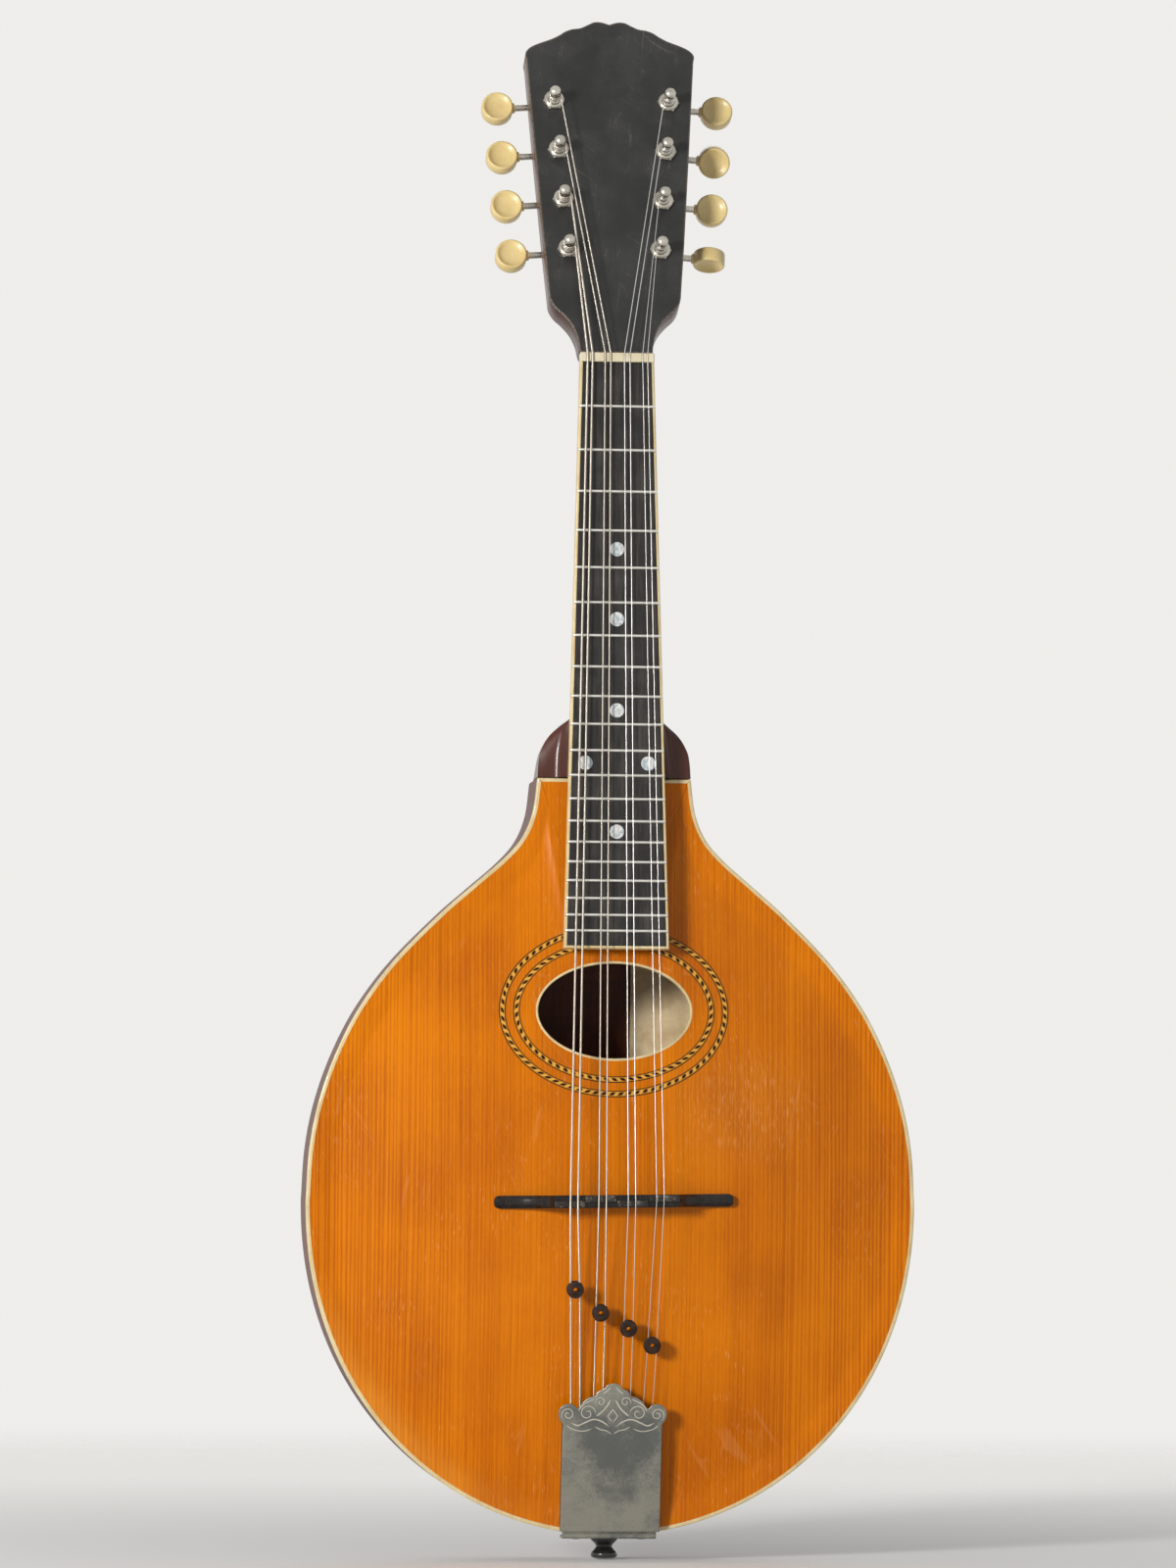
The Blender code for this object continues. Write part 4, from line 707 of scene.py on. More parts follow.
class Bench:
    """Builds the nodes of one material or world."""

    def __init__(self, name: str, kind: str = "materials") -> None:
        """Start a material or a world.

        Args:
            name: its name.
            kind: "materials" or "worlds".
        """
        self.owner = getattr(bpy.data, kind).new(name)
        self.owner.use_nodes = True
        self.tree = self.owner.node_tree

    def add(self, kind: str, settings: dict | None = None, values: dict | None = None,
            out: int | str | None = 0) -> Wire | None:
        """Add a node.

        Args:
            kind: its type.
            settings: its own settings, and "stops" for the stops of a ramp; these come first.
            values: what its inputs are set to or linked from, by name or number.
            out: the output that is wanted, None for a node that has none.

        Returns:
            That output.
        """
        node = self.tree.nodes.new(kind)
        for key, value in (settings or {}).items():
            if key == "stops":
                self.set_stops(node.color_ramp, value)
            else:
                setattr(node, key, value)
        for key, value in (values or {}).items():
            self.feed(node.inputs[key], value)
        return None if out is None else Wire(self, node.outputs[out])

    def set_stops(self, ramp: bpy.types.ColorRamp, stops: list[tuple[float, Colour]]) -> None:
        """Give a ramp its stops, as place and colour."""
        while len(ramp.elements) < len(stops):
            ramp.elements.new(1.0)
        for element, (place, colour) in zip(ramp.elements, stops):
            element.position, element.color = place, (*colour, 1.0)

    def feed(self, socket: bpy.types.NodeSocket, value: Value) -> None:
        """Link or set one input.

        Args:
            socket: the input.
            value: a wire to link, or a number or colour to set.
        """
        if isinstance(value, Wire):
            self.tree.links.new(value.socket, socket)
        elif isinstance(value, tuple) and socket.type == "RGBA":
            socket.default_value = (*value, 1.0)
        else:
            socket.default_value = value

    def dress(self, **values: Value) -> bpy.types.Material:
        """Feed the shader's inputs, named with _ for a space, and hand over the material.

        Args:
            values: what each input is set to or linked from.

        Returns:
            The material.
        """
        shader = self.tree.nodes["Principled BSDF"]
        for key, value in values.items():
            self.feed(shader.inputs[key.replace("_", " ").title().replace("Ior", "IOR")], value)
        return self.owner

    @cached_property
    def place(self) -> tuple[Wire, Wire, Wire]:
        """Millimetres across, up from the tail and out of the front, from Object coordinates."""
        x, y, z = (self.add("ShaderNodeSeparateXYZ", None, {0: self.add(
            "ShaderNodeTexCoord", None, None, "Object")}, k) for k in range(3))
        return (x * 1000.0, z * 1000.0 + LAYOUT.hanger[2], y * -1000.0 - LAYOUT.hanger[1])

    def mark(self, name: str) -> Wire:
        """A value that the mesh carries."""
        return self.add("ShaderNodeAttribute", {"attribute_name": name}, None, "Fac")

    def vector(self, x: Value, y: Value, z: Value) -> Wire:
        """Three values as a vector."""
        return self.add("ShaderNodeCombineXYZ", None, {0: x, 1: y, 2: z})

    def noise(self, x: Value, y: Value, z: Value, detail: float = 3.0,
              rough: float = 0.5) -> Wire:
        """Fractal noise about one half, with features about a unit wide and finer layers on them."""
        return self.add("ShaderNodeTexNoise", None, {
            "Vector": self.vector(x, y, z), "Scale": 1.0, "Detail": detail, "Roughness": rough},
            "Fac")

    def grain(self, across: float, up: float, detail: float = 3.0, rough: float = 0.5) -> Wire:
        """Fractal noise with so many features to a millimetre across, and so many up."""
        x, z, n = self.place
        return self.noise(x * across, z * up, n * across, detail, rough)

    def mix(self, share: Value, first: Value, second: Value) -> Wire:
        """Two colours mixed, by the share of the second."""
        return self.add("ShaderNodeMix", {"data_type": "RGBA"}, {0: share, 6: first, 7: second}, 2)

    def bump(self, height: Wire, depth: float, strength: float = 1.0) -> Wire:
        """A normal bent by a height, where a height of one stands for a depth in millimetres."""
        return self.add("ShaderNodeBump", None, {
            "Height": height, "Distance": depth * 0.001, "Strength": strength})

    def scratches(self, x: Wire, z: Wire, angle: float, spacing: float, share: float) -> Wire:
        """Long thin marks: noise drawn out along one direction, cut to its crests.

        Args:
            x: coordinate across.
            z: coordinate up.
            angle: direction of the marks, in degrees from upright.
            spacing: distance between the marks, in millimetres.
            share: how much of the noise is kept, from 0 to 1.

        Returns:
            One on a mark and nought elsewhere.
        """
        c, s = math.cos(math.radians(angle)), math.sin(math.radians(angle))
        streaks = self.noise((x * c - z * s) / spacing, (x * s + z * c) / (spacing * 14), angle, 1.0)
        return streaks.band(0.5 - share / 40, 0.5 + share / 40, 0.006)


# Finishes


@dataclass(frozen=True)
class Finish:
    """A finish; each kind below makes its own nodes."""

    name: str
    slot: str | None = None

    def material(self) -> bpy.types.Material:
        """The material, made the first time that it is asked for."""
        return bpy.data.materials.get(self.name) or self.make()

    def make(self) -> bpy.types.Material:
        """Make the material."""
        raise NotImplementedError


@dataclass(frozen=True)
class AmberSpruce(Finish):
    """Varnished spruce with fine upright grain, and the two inlaid rings of the soundhole."""

    name: str = "amber_spruce"
    slot: str = "top_spruce"
    rings: tuple = ((42.2, 30.0, 62, 0.0878, 1.0), (48.1, 36.0, 73, 0.0744, -1.0))
    ring_wide: float = 2.7
    seed_step: float = 3.55
    seed_half: tuple = (1.22, 0.52)
    year: float = 1.75
    pale: Colour = (0.72, 0.205, 0.0)
    deep: Colour = (0.36, 0.068, 0.0)
    rubbed: Colour = (0.80, 0.36, 0.06)
    patch: tuple = (54.0, 174.0, 38.0, 30.0)
    rim: tuple = (0.0, 134.0, 127.6, 138.5)

    def seed(self, run: Wire, across: Wire, lean: float) -> Wire:
        """A slanted oval: one inside it and nought outside.

        Args:
            run: millimetres along the ring from the oval's middle.
            across: millimetres across the ring from the oval's middle.
            lean: its angle to the ring, in radians.

        Returns:
            The share of the oval.
        """
        p = run * math.cos(lean) + across * math.sin(lean)
        q = across * math.cos(lean) - run * math.sin(lean)
        half, thin = self.seed_half
        return 1 - ((p / half) ** 2.0 + (q / thin) ** 2.0).rise(0.75, 1.2)

    def oval(self, x: Wire, z: Wire, place: tuple) -> Wire:
        """Distance from an oval's middle, as a share of its own half width and half height."""
        across, up, half, tall = place
        return (((x - across) / half) ** 2.0 + ((z - up) / tall) ** 2.0) ** 0.5

    def inlay(self, bench: Bench, x: Wire, z: Wire, ring: tuple, colour: Wire) -> Wire:
        """Lay one ring into the wood: an amber rope with dark seeds between two dark lines.

        Args:
            bench: the material being built.
            x: millimetres across.
            z: millimetres up.
            ring: outer half width and height, number of seeds, evening share and lean.
            colour: colour of the wood.

        Returns:
            The colour with the ring in it.
        """
        a, b, seeds, even, lean = ring
        outer = self.oval(x, z, (*LAYOUT.hole, a, b))
        inner = self.oval(x, z, (*LAYOUT.hole, a - self.ring_wide, b - self.ring_wide))
        t = (inner - 1.0) / ((inner - 1.0) + (1 - outer))
        here = inner.rise(0.995, 1.001) * (1 - outer.rise(0.999, 1.005))
        turn = ((z - LAYOUT.hole[1]) / b).calc("ARCTAN2", (x - LAYOUT.hole[0]) / a)
        u = (turn - (turn * 2.0).calc("SINE") * even) * (seeds / TURN)
        across = (t - 0.5) * self.ring_wide
        dark, light = (self.seed(((u + shift).calc("FRACT") - 0.5) * self.seed_step, across, angle)
                       for shift, angle in ((0.0, 0.42 * lean), (0.5, 0.75 * lean)))
        line = (1 - t.rise(0.10, 0.18)) + t.rise(0.82, 0.90)
        rope = bench.mix(light * 0.8, (0.46, 0.19, 0.012), (0.74, 0.38, 0.07))
        rope = bench.mix(dark, rope, (0.012, 0.006, 0.004))
        rope = bench.mix((line * 0.9).calc("MINIMUM", 0.9), rope, (0.020, 0.008, 0.004))
        return bench.mix(here, colour, rope)

    def make(self) -> bpy.types.Material:
        """Amber varnish over year lines, silk, pale flecks, handling marks and the inlay.

        Returns:
            The material.
        """
        bench = Bench(self.name)
        x, z, n = bench.place
        drift = bench.noise(x * 0.02, z * 0.0012, 3.0, 1.0)
        wander = bench.noise(x * 0.30, z * 0.0012, 5.0, 1.0)
        phase = x * (TURN / self.year) + (drift - 0.5) * 30.0 + (wander - 0.5) * 12.0
        year = (phase.calc("SINE") * 0.5 + 0.5) ** 1.6
        outer = x.calc("ABSOLUTE").rise(30.0, 110.0)
        fine = bench.noise(x * 2.2, z * 0.02, n * 0.1, 2.0, 0.6)
        broad = bench.noise(x * 0.07, z * 0.004, 3.0, 2.0)
        silk = bench.noise(x * 0.9, z * 0.22, 7.0, 2.0)
        cloud = bench.noise(x * 0.018, z * 0.016, 11.0, 3.0)
        tone = (year - 0.35) * (outer * 0.20 + 0.12) + (fine - 0.5) * 0.50
        tone = tone + (broad - 0.5) * 0.42 + (silk - 0.5) * 0.18 + (cloud - 0.5) * 0.80
        colour = bench.mix((tone + 0.46).rise(0.0, 1.0), self.pale, self.deep)
        bare = 1 - self.oval(x, z, self.patch).rise(0.2, 1.05)
        edge = self.oval(x, z, self.rim).rise(0.90, 0.985) * (1 - x.rise(-95.0, -15.0))
        edge = edge * (1 - z.rise(50.0, 110.0)) * fine.rise(0.30, 0.62)
        colour = bench.mix(edge * 0.36 + bare * 0.08, colour, self.rubbed)
        speck = bench.noise(x * 1.7, z * 0.16, 21.0, 1.0)
        fleck = speck.rise(0.66, 0.74) * bench.noise(x * 0.03, z * 0.02, 31.0, 2.0).rise(0.48, 0.62)
        fleck = fleck + speck.rise(0.57, 0.66) * bare * 0.7
        marks = bench.scratches(x, z, 12.0, 5.5, 0.10) * cloud.rise(0.52, 0.60)
        marks = marks + bench.scratches(x, z, -34.0, 7.0, 0.08) * cloud.rise(0.55, 0.63)
        marks = (marks * 0.5 + fleck).calc("MINIMUM", 1.0)
        colour = bench.mix(marks * 0.30, colour, (0.86, 0.46, 0.20))
        for ring in self.rings:
            colour = self.inlay(bench, x, z, ring, colour)
        rough = (cloud - 0.5) * 0.12 + marks * 0.10 + 0.26
        height = year * 0.5 + fine * 0.3 - marks * 0.5
        return bench.dress(base_color=colour, roughness=rough, specular_ior_level=0.1,
                           coat_weight=0.09, coat_roughness=0.13,
                           normal=bench.bump(height, 0.03, 0.5))


@dataclass(frozen=True)
class VarnishedWood(Finish):
    """Dark varnished wood whose pores or curl run along or across one direction."""

    name: str = "varnished_maple"
    slot: str = "body_maple"
    dark: Colour = (0.045, 0.011, 0.006)
    light: Colour = (0.145, 0.036, 0.016)
    curl: float = 0.0
    pores: float = 0.35
    rough: float = 0.24
    coat: float = 0.5
    shine: float = 0.3

    def make(self) -> bpy.types.Material:
        """Long grain, a soft curl across it, and worn places.

        Returns:
            The material.
        """
        bench = Bench(self.name)
        grain = bench.grain(0.55, 0.012, 4.0, 0.6)
        curl = bench.grain(0.03, 0.16, 1.0)
        cloud = bench.grain(0.02, 0.02)
        pore = bench.grain(2.6, 0.12, 2.0).rise(0.60, 0.72)
        tone = (grain - 0.5) * 0.9 + (curl - 0.5) * self.curl + (cloud - 0.5) * 0.8 + 0.5
        colour = bench.mix(tone.rise(0.05, 0.95), self.dark, self.light)
        colour = bench.mix(pore * self.pores, colour, (0.012, 0.004, 0.003))
        rough = (cloud - 0.5) * 0.14 + self.rough
        return bench.dress(base_color=colour, roughness=rough, coat_weight=self.coat,
                           coat_roughness=0.10, specular_ior_level=self.shine,
                           normal=bench.bump(grain - pore * 0.4, 0.03, 0.4))


@dataclass(frozen=True)
class BareSpruce(Finish):
    """Unvarnished spruce of the linings, blocks and brace."""

    name: str = "bare_spruce"
    slot: str = "inner_spruce"
    pale: Colour = (0.58, 0.40, 0.22)
    deep: Colour = (0.36, 0.22, 0.10)

    def make(self) -> bpy.types.Material:
        """Straw wood with darker year lines.

        Returns:
            The material.
        """
        bench = Bench(self.name)
        line = bench.grain(0.9, 0.02, 3.0, 0.6)
        dust = bench.grain(0.08, 0.08)
        colour = bench.mix(line.rise(0.35, 0.7), self.pale, self.deep)
        colour = bench.mix(dust.rise(0.45, 0.75) * 0.4, colour, (0.20, 0.13, 0.07))
        return bench.dress(base_color=colour, roughness=(dust - 0.5) * 0.2 + 0.72,
                           normal=bench.bump(line, 0.06, 0.5))


@dataclass(frozen=True)
class HeadBlack(Finish):
    """Black face of the headstock, rubbed through to grey along its edge."""

    name: str = "worn_black"
    slot: str = "head_black"

    def make(self) -> bpy.types.Material:
        """Satin black with cloudy polish, hair scratches and a rubbed rim.

        Returns:
            The material.
        """
        bench = Bench(self.name)
        x, z, _ = bench.place
        cloud = bench.noise(x * 0.05, z * 0.05, 2.0, 4.0, 0.6)
        fine = bench.noise(x * 1.4, z * 1.4, 3.0, 3.0, 0.6)
        scratch = bench.scratches(x, z, 8.0, 3.2, 0.10) + bench.scratches(x, z, -58.0, 4.5, 0.07)
        scratch = scratch * cloud.rise(0.46, 0.60)
        rim = 1 - (bench.mark("rim") + (fine - 0.5) * 0.5).rise(0.25, 0.95)
        colour = bench.mix(cloud.rise(0.3, 0.75), (0.016, 0.016, 0.016), (0.034, 0.034, 0.034))
        colour = bench.mix((scratch * 0.4).calc("MINIMUM", 1.0), colour, (0.16, 0.15, 0.14))
        colour = bench.mix(rim * fine.rise(0.35, 0.6) * 0.75, colour, (0.20, 0.15, 0.11))
        rough = (cloud - 0.5) * 0.2 + (fine - 0.5) * 0.08 + scratch * 0.1 + 0.36
        return bench.dress(base_color=colour, roughness=rough, specular_ior_level=0.35,
                           coat_weight=0.08, coat_roughness=0.2,
                           normal=bench.bump(fine - scratch, 0.012, 0.4))


@dataclass(frozen=True)
class Ebony(Finish):
    """Ebony, near black with brown streaks, polished or played dull."""

    name: str = "board_ebony"
    slot: str = "ebony"
    rough: float = 0.42
    chips: float = 0.0
    deep: Colour = (0.013, 0.012, 0.012)
    light: Colour = (0.042, 0.035, 0.030)
    dust: float = 0.3

    def make(self) -> bpy.types.Material:
        """Streaked near-black wood with open pores and grey handling.

        Returns:
            The material.
        """
        bench = Bench(self.name)
        x, z, _ = bench.place
        streak = bench.grain(0.5, 0.02, 4.0, 0.65)
        pore = bench.grain(3.4, 0.25, 2.0).rise(0.62, 0.72)
        cloud = bench.noise(x * 0.07, z * 0.07, 4.0, 3.0)
        colour = bench.mix(streak.rise(0.42, 0.72), self.deep, self.light)
        colour = bench.mix(cloud.rise(0.45, 0.8) * self.dust, colour, (0.09, 0.085, 0.08))
        colour = bench.mix(pore * 0.5, colour, (0.008, 0.007, 0.006))
        if self.chips:
            chip = bench.grain(0.9, 0.9, 3.0, 0.6).rise(0.60, 0.66)
            colour = bench.mix(chip * self.chips, colour, (0.28, 0.22, 0.16))
        rough = (cloud - 0.5) * 0.22 + pore * 0.15 + self.rough
        return bench.dress(base_color=colour, roughness=rough, specular_ior_level=0.3,
                           normal=bench.bump(1 - pore, 0.03, 0.45))


@dataclass(frozen=True)
class AgedPlastic(Finish):
    """Ivory-coloured binding, buttons and bone: creamy, gone brown in places."""

    name: str = "ivoroid"
    slot: str = "ivory_binding"
    pale: Colour = (0.70, 0.58, 0.33)
    aged: Colour = (0.48, 0.32, 0.12)
    grain: float = 0.5
    rough: float = 0.36

    def make(self) -> bpy.types.Material:
        """Faint parallel figure, a warm stain and small dirty pits.

        Returns:
            The material.
        """
        bench = Bench(self.name)
        figure = bench.grain(0.9, 0.06, 3.0, 0.6)
        stain = bench.grain(0.09, 0.09, 4.0, 0.6)
        pit = bench.grain(2.2, 2.2, 2.0).rise(0.68, 0.76)
        tone = (figure - 0.5) * self.grain + (stain - 0.5) * 1.1 + 0.42
        colour = bench.mix(tone.rise(0.1, 0.95), self.pale, self.aged)
        colour = bench.mix(pit * 0.4, colour, (0.10, 0.06, 0.03))
        rough = (stain - 0.5) * 0.2 + self.rough
        return bench.dress(base_color=colour, roughness=rough, coat_weight=0.15,
                           normal=bench.bump(figure - pit, 0.02, 0.35))


@dataclass(frozen=True)
class Plate(Finish):
    """Worn nickel, nickel-silver, brass or steel."""

    name: str = "aged_nickel"
    slot: str = "nickel"
    bright: Colour = (0.58, 0.55, 0.49)
    dull: Colour = (0.25, 0.23, 0.19)
    rough: float = 0.26
    tarnish: float = 0.6
    grain: float = 0.10
    patch: float = 0.0
    patch_place: tuple = (4.0, 38.0, 17.0, 15.0)

    def make(self) -> bpy.types.Material:
        """Cloudy tarnish with an optional darker patch, small spots and fine rubbing marks.

        Returns:
            The material.
        """
        bench = Bench(self.name)
        x, z, _ = bench.place
        cloud = bench.grain(self.grain, self.grain, 5.0, 0.62)
        spot = bench.grain(1.1, 1.1, 3.0, 0.6)
        rub = bench.grain(0.25, 3.0, 2.0)
        worn = cloud + (spot - 0.5) * 0.35
        if self.patch:
            across, up, half, tall = self.patch_place
            away = ((x - across) / half) ** 2.0 + ((z - up) / tall) ** 2.0
            worn = worn + (1 - away.rise(0.1, 1.6)) * self.patch - self.patch * 0.3
        worn = worn.rise(0.28, 0.70) * self.tarnish
        colour = bench.mix(worn, self.bright, self.dull)
        rough = worn * 0.22 + (rub - 0.5) * 0.12 + (spot - 0.5) * 0.08 + self.rough
        return bench.dress(base_color=colour, roughness=rough, metallic=1.0,
                           normal=bench.bump(rub * 0.4 + spot * 0.6, 0.012, 0.3))


@dataclass(frozen=True)
class WoundWire(Finish):
    """Wound string: fine turns of wrapping read from the distance along the string."""

    name: str = "wound_wire"
    slot: str = "wound_bronze"
    turns: float = 2.6
    bright: Colour = (0.66, 0.61, 0.54)

    def make(self) -> bpy.types.Material:
        """Painted highlight on the crests of the winding and painted shade in its grooves, dulled where
        hands have played.

        Returns:
            The material.
        """
        bench = Bench(self.name)
        winding_relief_and_shade = (bench.mark("run") * (TURN * self.turns)).calc("SINE") * 0.5 + 0.5
        cloud = bench.grain(0.05, 0.05)
        # painted shade and highlight: the colour runs from dark in the grooves to bright on the crests,
        # following the same wave that bumps the winding
        colour = bench.mix(winding_relief_and_shade * 0.7 + 0.3, (0.22, 0.19, 0.15), self.bright)
        colour = bench.mix(cloud.rise(0.45, 0.7) * 0.35, colour, (0.40, 0.36, 0.30))
        return bench.dress(base_color=colour, roughness=(cloud - 0.5) * 0.2 + 0.36, metallic=1.0,
                           normal=bench.bump(winding_relief_and_shade, 0.06, 0.6))


@dataclass(frozen=True)
class Matte(Finish):
    """Rubber, black horn, paper and other soft-looking surfaces."""

    name: str = "grommet_rubber"
    slot: str | None = "rubber"
    base: Colour = (0.032, 0.024, 0.020)
    other: Colour = (0.062, 0.048, 0.040)
    rough: float = 0.62
    scale: float = 0.35
    coat: float = 0.0
    shine: float = 0.5

    def make(self) -> bpy.types.Material:
        """Two close tones in clouds with a fine tooth.

        Returns:
            The material.
        """
        bench = Bench(self.name)
        cloud = bench.grain(self.scale, self.scale, 4.0, 0.6)
        tooth = bench.grain(4.0, 4.0, 2.0)
        colour = bench.mix(cloud.rise(0.35, 0.7), self.base, self.other)
        rough = (cloud - 0.5) * 0.2 + self.rough
        return bench.dress(base_color=colour, roughness=rough, coat_weight=self.coat,
                           specular_ior_level=self.shine, normal=bench.bump(tooth, 0.02, 0.35))


@dataclass(frozen=True)
class Pearl(Finish):
    """Mother of pearl: banded silver, green and rose that shift over each dot."""

    name: str = "pearl"
    slot: str | None = None

    def make(self) -> bpy.types.Material:
        """Folded bands coloured by a ramp, under a clear polish.

        Returns:
            The material.
        """
        bench = Bench(self.name)
        x, z, _ = bench.place
        fold = bench.noise(x * 0.22, z * 0.14, 1.0, 2.0, 0.5)
        band = (fold * 34.0).calc("SINE") * 0.5 + 0.5
        stops = [(0.0, (0.34, 0.42, 0.46)), (0.45, (0.62, 0.64, 0.62)), (0.75, (0.52, 0.46, 0.48)),
                 (1.0, (0.70, 0.74, 0.72))]
        colour = bench.add("ShaderNodeValToRGB", {"stops": stops}, {"Fac": band})
        return bench.dress(base_color=colour, roughness=band * 0.1 + 0.2, coat_weight=0.4)


SPRUCE = AmberSpruce()
MAPLE = VarnishedWood(curl=0.55, rough=0.42, coat=0.0, shine=0.15)
MAHOGANY = VarnishedWood("stained_mahogany", "neck_mahogany", (0.034, 0.010, 0.007),
                         (0.100, 0.030, 0.019), 0.1, 0.6, 0.30, 0.14, 0.2)
INNER = BareSpruce()
EBONY = Ebony()
BRIDGE_EBONY = Ebony("bridge_ebony", "ebony", 0.16, 0.0, (0.005, 0.004, 0.003),
                     (0.018, 0.012, 0.009), 0.05)
SADDLE_EBONY = Ebony("saddle_ebony", "ebony", 0.4, 0.7, (0.010, 0.008, 0.007),
                     (0.05, 0.04, 0.03), 0.5)
IVOROID = AgedPlastic()
BONE = AgedPlastic("nut_bone", "bone", (0.74, 0.68, 0.50), (0.56, 0.44, 0.24), 0.3, 0.3)
CREAM = AgedPlastic("button_cream", "cream_button", (0.78, 0.62, 0.29), (0.60, 0.42, 0.15), 0.2,
                    0.36)
NICKEL = Plate(rough=0.22)
FRET_NICKEL = Plate("fret_nickel", "ebony", (0.78, 0.77, 0.72), (0.46, 0.44, 0.40), 0.34, 0.4)
TAIL_NICKEL = Plate("cloudy_nickel", "tail_nickel", (0.345, 0.345, 0.295), (0.135, 0.142, 0.135),
                    0.42, 1.0, 0.055, 0.22)
ENGRAVED = Plate("engraved_line", "tail_nickel", (0.74, 0.72, 0.62), (0.42, 0.40, 0.34), 0.34)
BRASS = Plate("old_brass", "gear_brass", (0.58, 0.41, 0.17), (0.30, 0.20, 0.08), 0.32)
STEEL = Plate("string_steel", "plain_steel", (0.68, 0.665, 0.64), (0.42, 0.41, 0.39), 0.3, 0.4)
WOUND = WoundWire()
RUBBER = Matte(base=(0.014, 0.007, 0.004), other=(0.042, 0.022, 0.014), rough=0.5,
               shine=0.2)
BLACK_PIN = Matte("black_horn", "black_pin", (0.014, 0.013, 0.013), (0.030, 0.028, 0.027), 0.28,
                  0.08, 0.3)
PAPER = Matte("label_paper", None, (0.84, 0.68, 0.42), (0.66, 0.47, 0.26), 0.85, 0.10)
PEARL = Pearl()


# Body


@dataclass(frozen=True)
class Body:
    """The soundbox: top, back, two ribs, binding, soundhole lining and label."""

    widest: float = 134.0
    half: float = 127.6
    fullness: float = 2.1
    end: float = 311.2
    neck_half: float = 32.2
    flank: tuple = ((0.1208, 0.9864), (0.2314, 0.9476), (0.3426, 0.8774), (0.4537, 0.7746),
                    (0.5649, 0.6247), (0.6761, 0.4245), (0.7449, 0.2809), (0.8070, 0.1488),
                    (0.8578, 0.0671), (0.9199, 0.0199))
    plate: float = 3.0
    top_arch: float = 13.0
    back_arch: float = 12.0
    dip: float = 0.3
    shelf: float = 0.965
    recurve: float = 0.93
    arch_full: float = 0.55
    arch_upper: float = 152.0
    oval: float = 0.85
    ease: float = 0.5
    depth: float = 46.3
    rib: float = 2.2
    binding: float = 1.6
    hole_half: tuple = (32.8, 20.85)
    hole_ring: float = 1.0
    hole_ring_deep: float = 3.6
    paper: tuple = ((12.0, 55.0), (188.0, 246.0))
    paper_thick: float = 0.2
    edge_points: int = 400

    def edge(self) -> np.ndarray:
        """The body's edge: a superellipse below the widest place, then a smooth flank.

        Returns:
            The whole edge, anticlockwise from the tail.
        """
        x = self.half * np.sin(np.linspace(0, math.pi / 2, 160)[:-1])
        lift = (1 - (x / self.half) ** 2) ** (1 / self.fullness)
        lower = stacked(x, self.widest - (self.widest - LAYOUT.tail) * lift)
        up, out = np.array(((0.0, 1.0), *self.flank, (1.0, 0.0))).T
        stations = stacked(self.neck_half + out * (self.half - self.neck_half),
                           self.widest + up * (self.end - self.widest))
        side = evenly(np.concatenate([lower, smooth_line(stations, 24)]), self.edge_points)
        across = stacked(np.linspace(self.neck_half, 0, 14)[1:], self.end)
        return mirrored(np.concatenate([side, across]))

    def contour(self, edge: np.ndarray, ray: np.ndarray, reach: np.ndarray) -> np.ndarray:
        """Radius of a height contour: the edge line far out, a fuller oval nearer the middle.

        Args:
            edge: distance of the edge along each ray.
            ray: unit rays from the centre of the arch.
            reach: share of the way out, 1 at the edge.

        Returns:
            The radius that the share is taken of.
        """
        tall = np.where(ray[..., 1] > 0, self.arch_upper, self.widest - LAYOUT.tail)
        oval = 1 / np.sqrt((ray[..., 0] / self.half) ** 2 + (ray[..., 1] / tall) ** 2)
        t = np.clip((1 - reach) / self.ease, 0, 1)
        share = self.oval * t * t * (3 - 2 * t)
        return edge * (1 - share) + oval * share

    def arch(self, reach: np.ndarray, height: float) -> np.ndarray:
        """Height of a carved plate: level at its edge, a shallow recurve, then the dome.

        Args:
            reach: share of the way out from the middle.
            height: height of the dome.

        Returns:
            The height at each place.
        """
        dome = (0.5 + 0.5 * np.cos(math.pi * np.clip(reach / self.recurve, 0, 1))) ** self.arch_full
        domed = -self.dip + (height + self.dip) * dome
        flat = -self.dip * np.clip((self.shelf - reach) / (self.shelf - self.recurve), 0, 1)
        return np.where(reach < self.recurve, domed, flat)

    def front(self, x: np.ndarray, z: np.ndarray) -> np.ndarray:
        """Height of the top at a place: its share of the way out is found by repeated division.

        Args:
            x: places across.
            z: places up.

        Returns:
            The height above the body's front edge.
        """
        line = inset(self.edge(), self.binding) - (0.0, self.widest)
        angles = np.arctan2(line[:, 0], line[:, 1])
        order = np.argsort(angles)
        offset = stacked(x, z) - (0.0, self.widest)
        length = np.linalg.norm(offset, axis=-1)
        ray = offset / np.maximum(length, 1e-9)[..., None]
        edge = np.interp(np.arctan2(ray[..., 0], ray[..., 1]), angles[order],
                         np.linalg.norm(line, axis=1)[order], period=TURN)
        reach = length / edge
        for _ in range(20):
            reach = length / self.contour(edge, ray, reach)
        return self.arch(reach, self.top_arch)

    def top(self) -> Shape:
        """The top: straight sections from the soundhole's rim out to the binding, then back under.

        Returns:
            The surface.
        """
        outer = inset(self.edge(), self.binding + 0.02)
        angle = np.arctan2(*(outer - LAYOUT.hole).T[::-1])
        reach = 1 / np.linalg.norm(polar(1.0, angle) / self.hole_half, axis=1)
        rim = polar(reach, angle) + LAYOUT.hole
        share = np.concatenate([np.linspace(0, 0.85, 52), np.linspace(0.85, 1, 18)[1:]])
        s = np.concatenate([share, share[::-3]])[:, None]
        plan = rim[:, None] * (1 - s) + outer[:, None] * s
        level = self.front(plan[..., 0], plan[..., 1])
        level[:, len(share):] -= self.plate
        return skin(raised(plan, level), wrap=True)

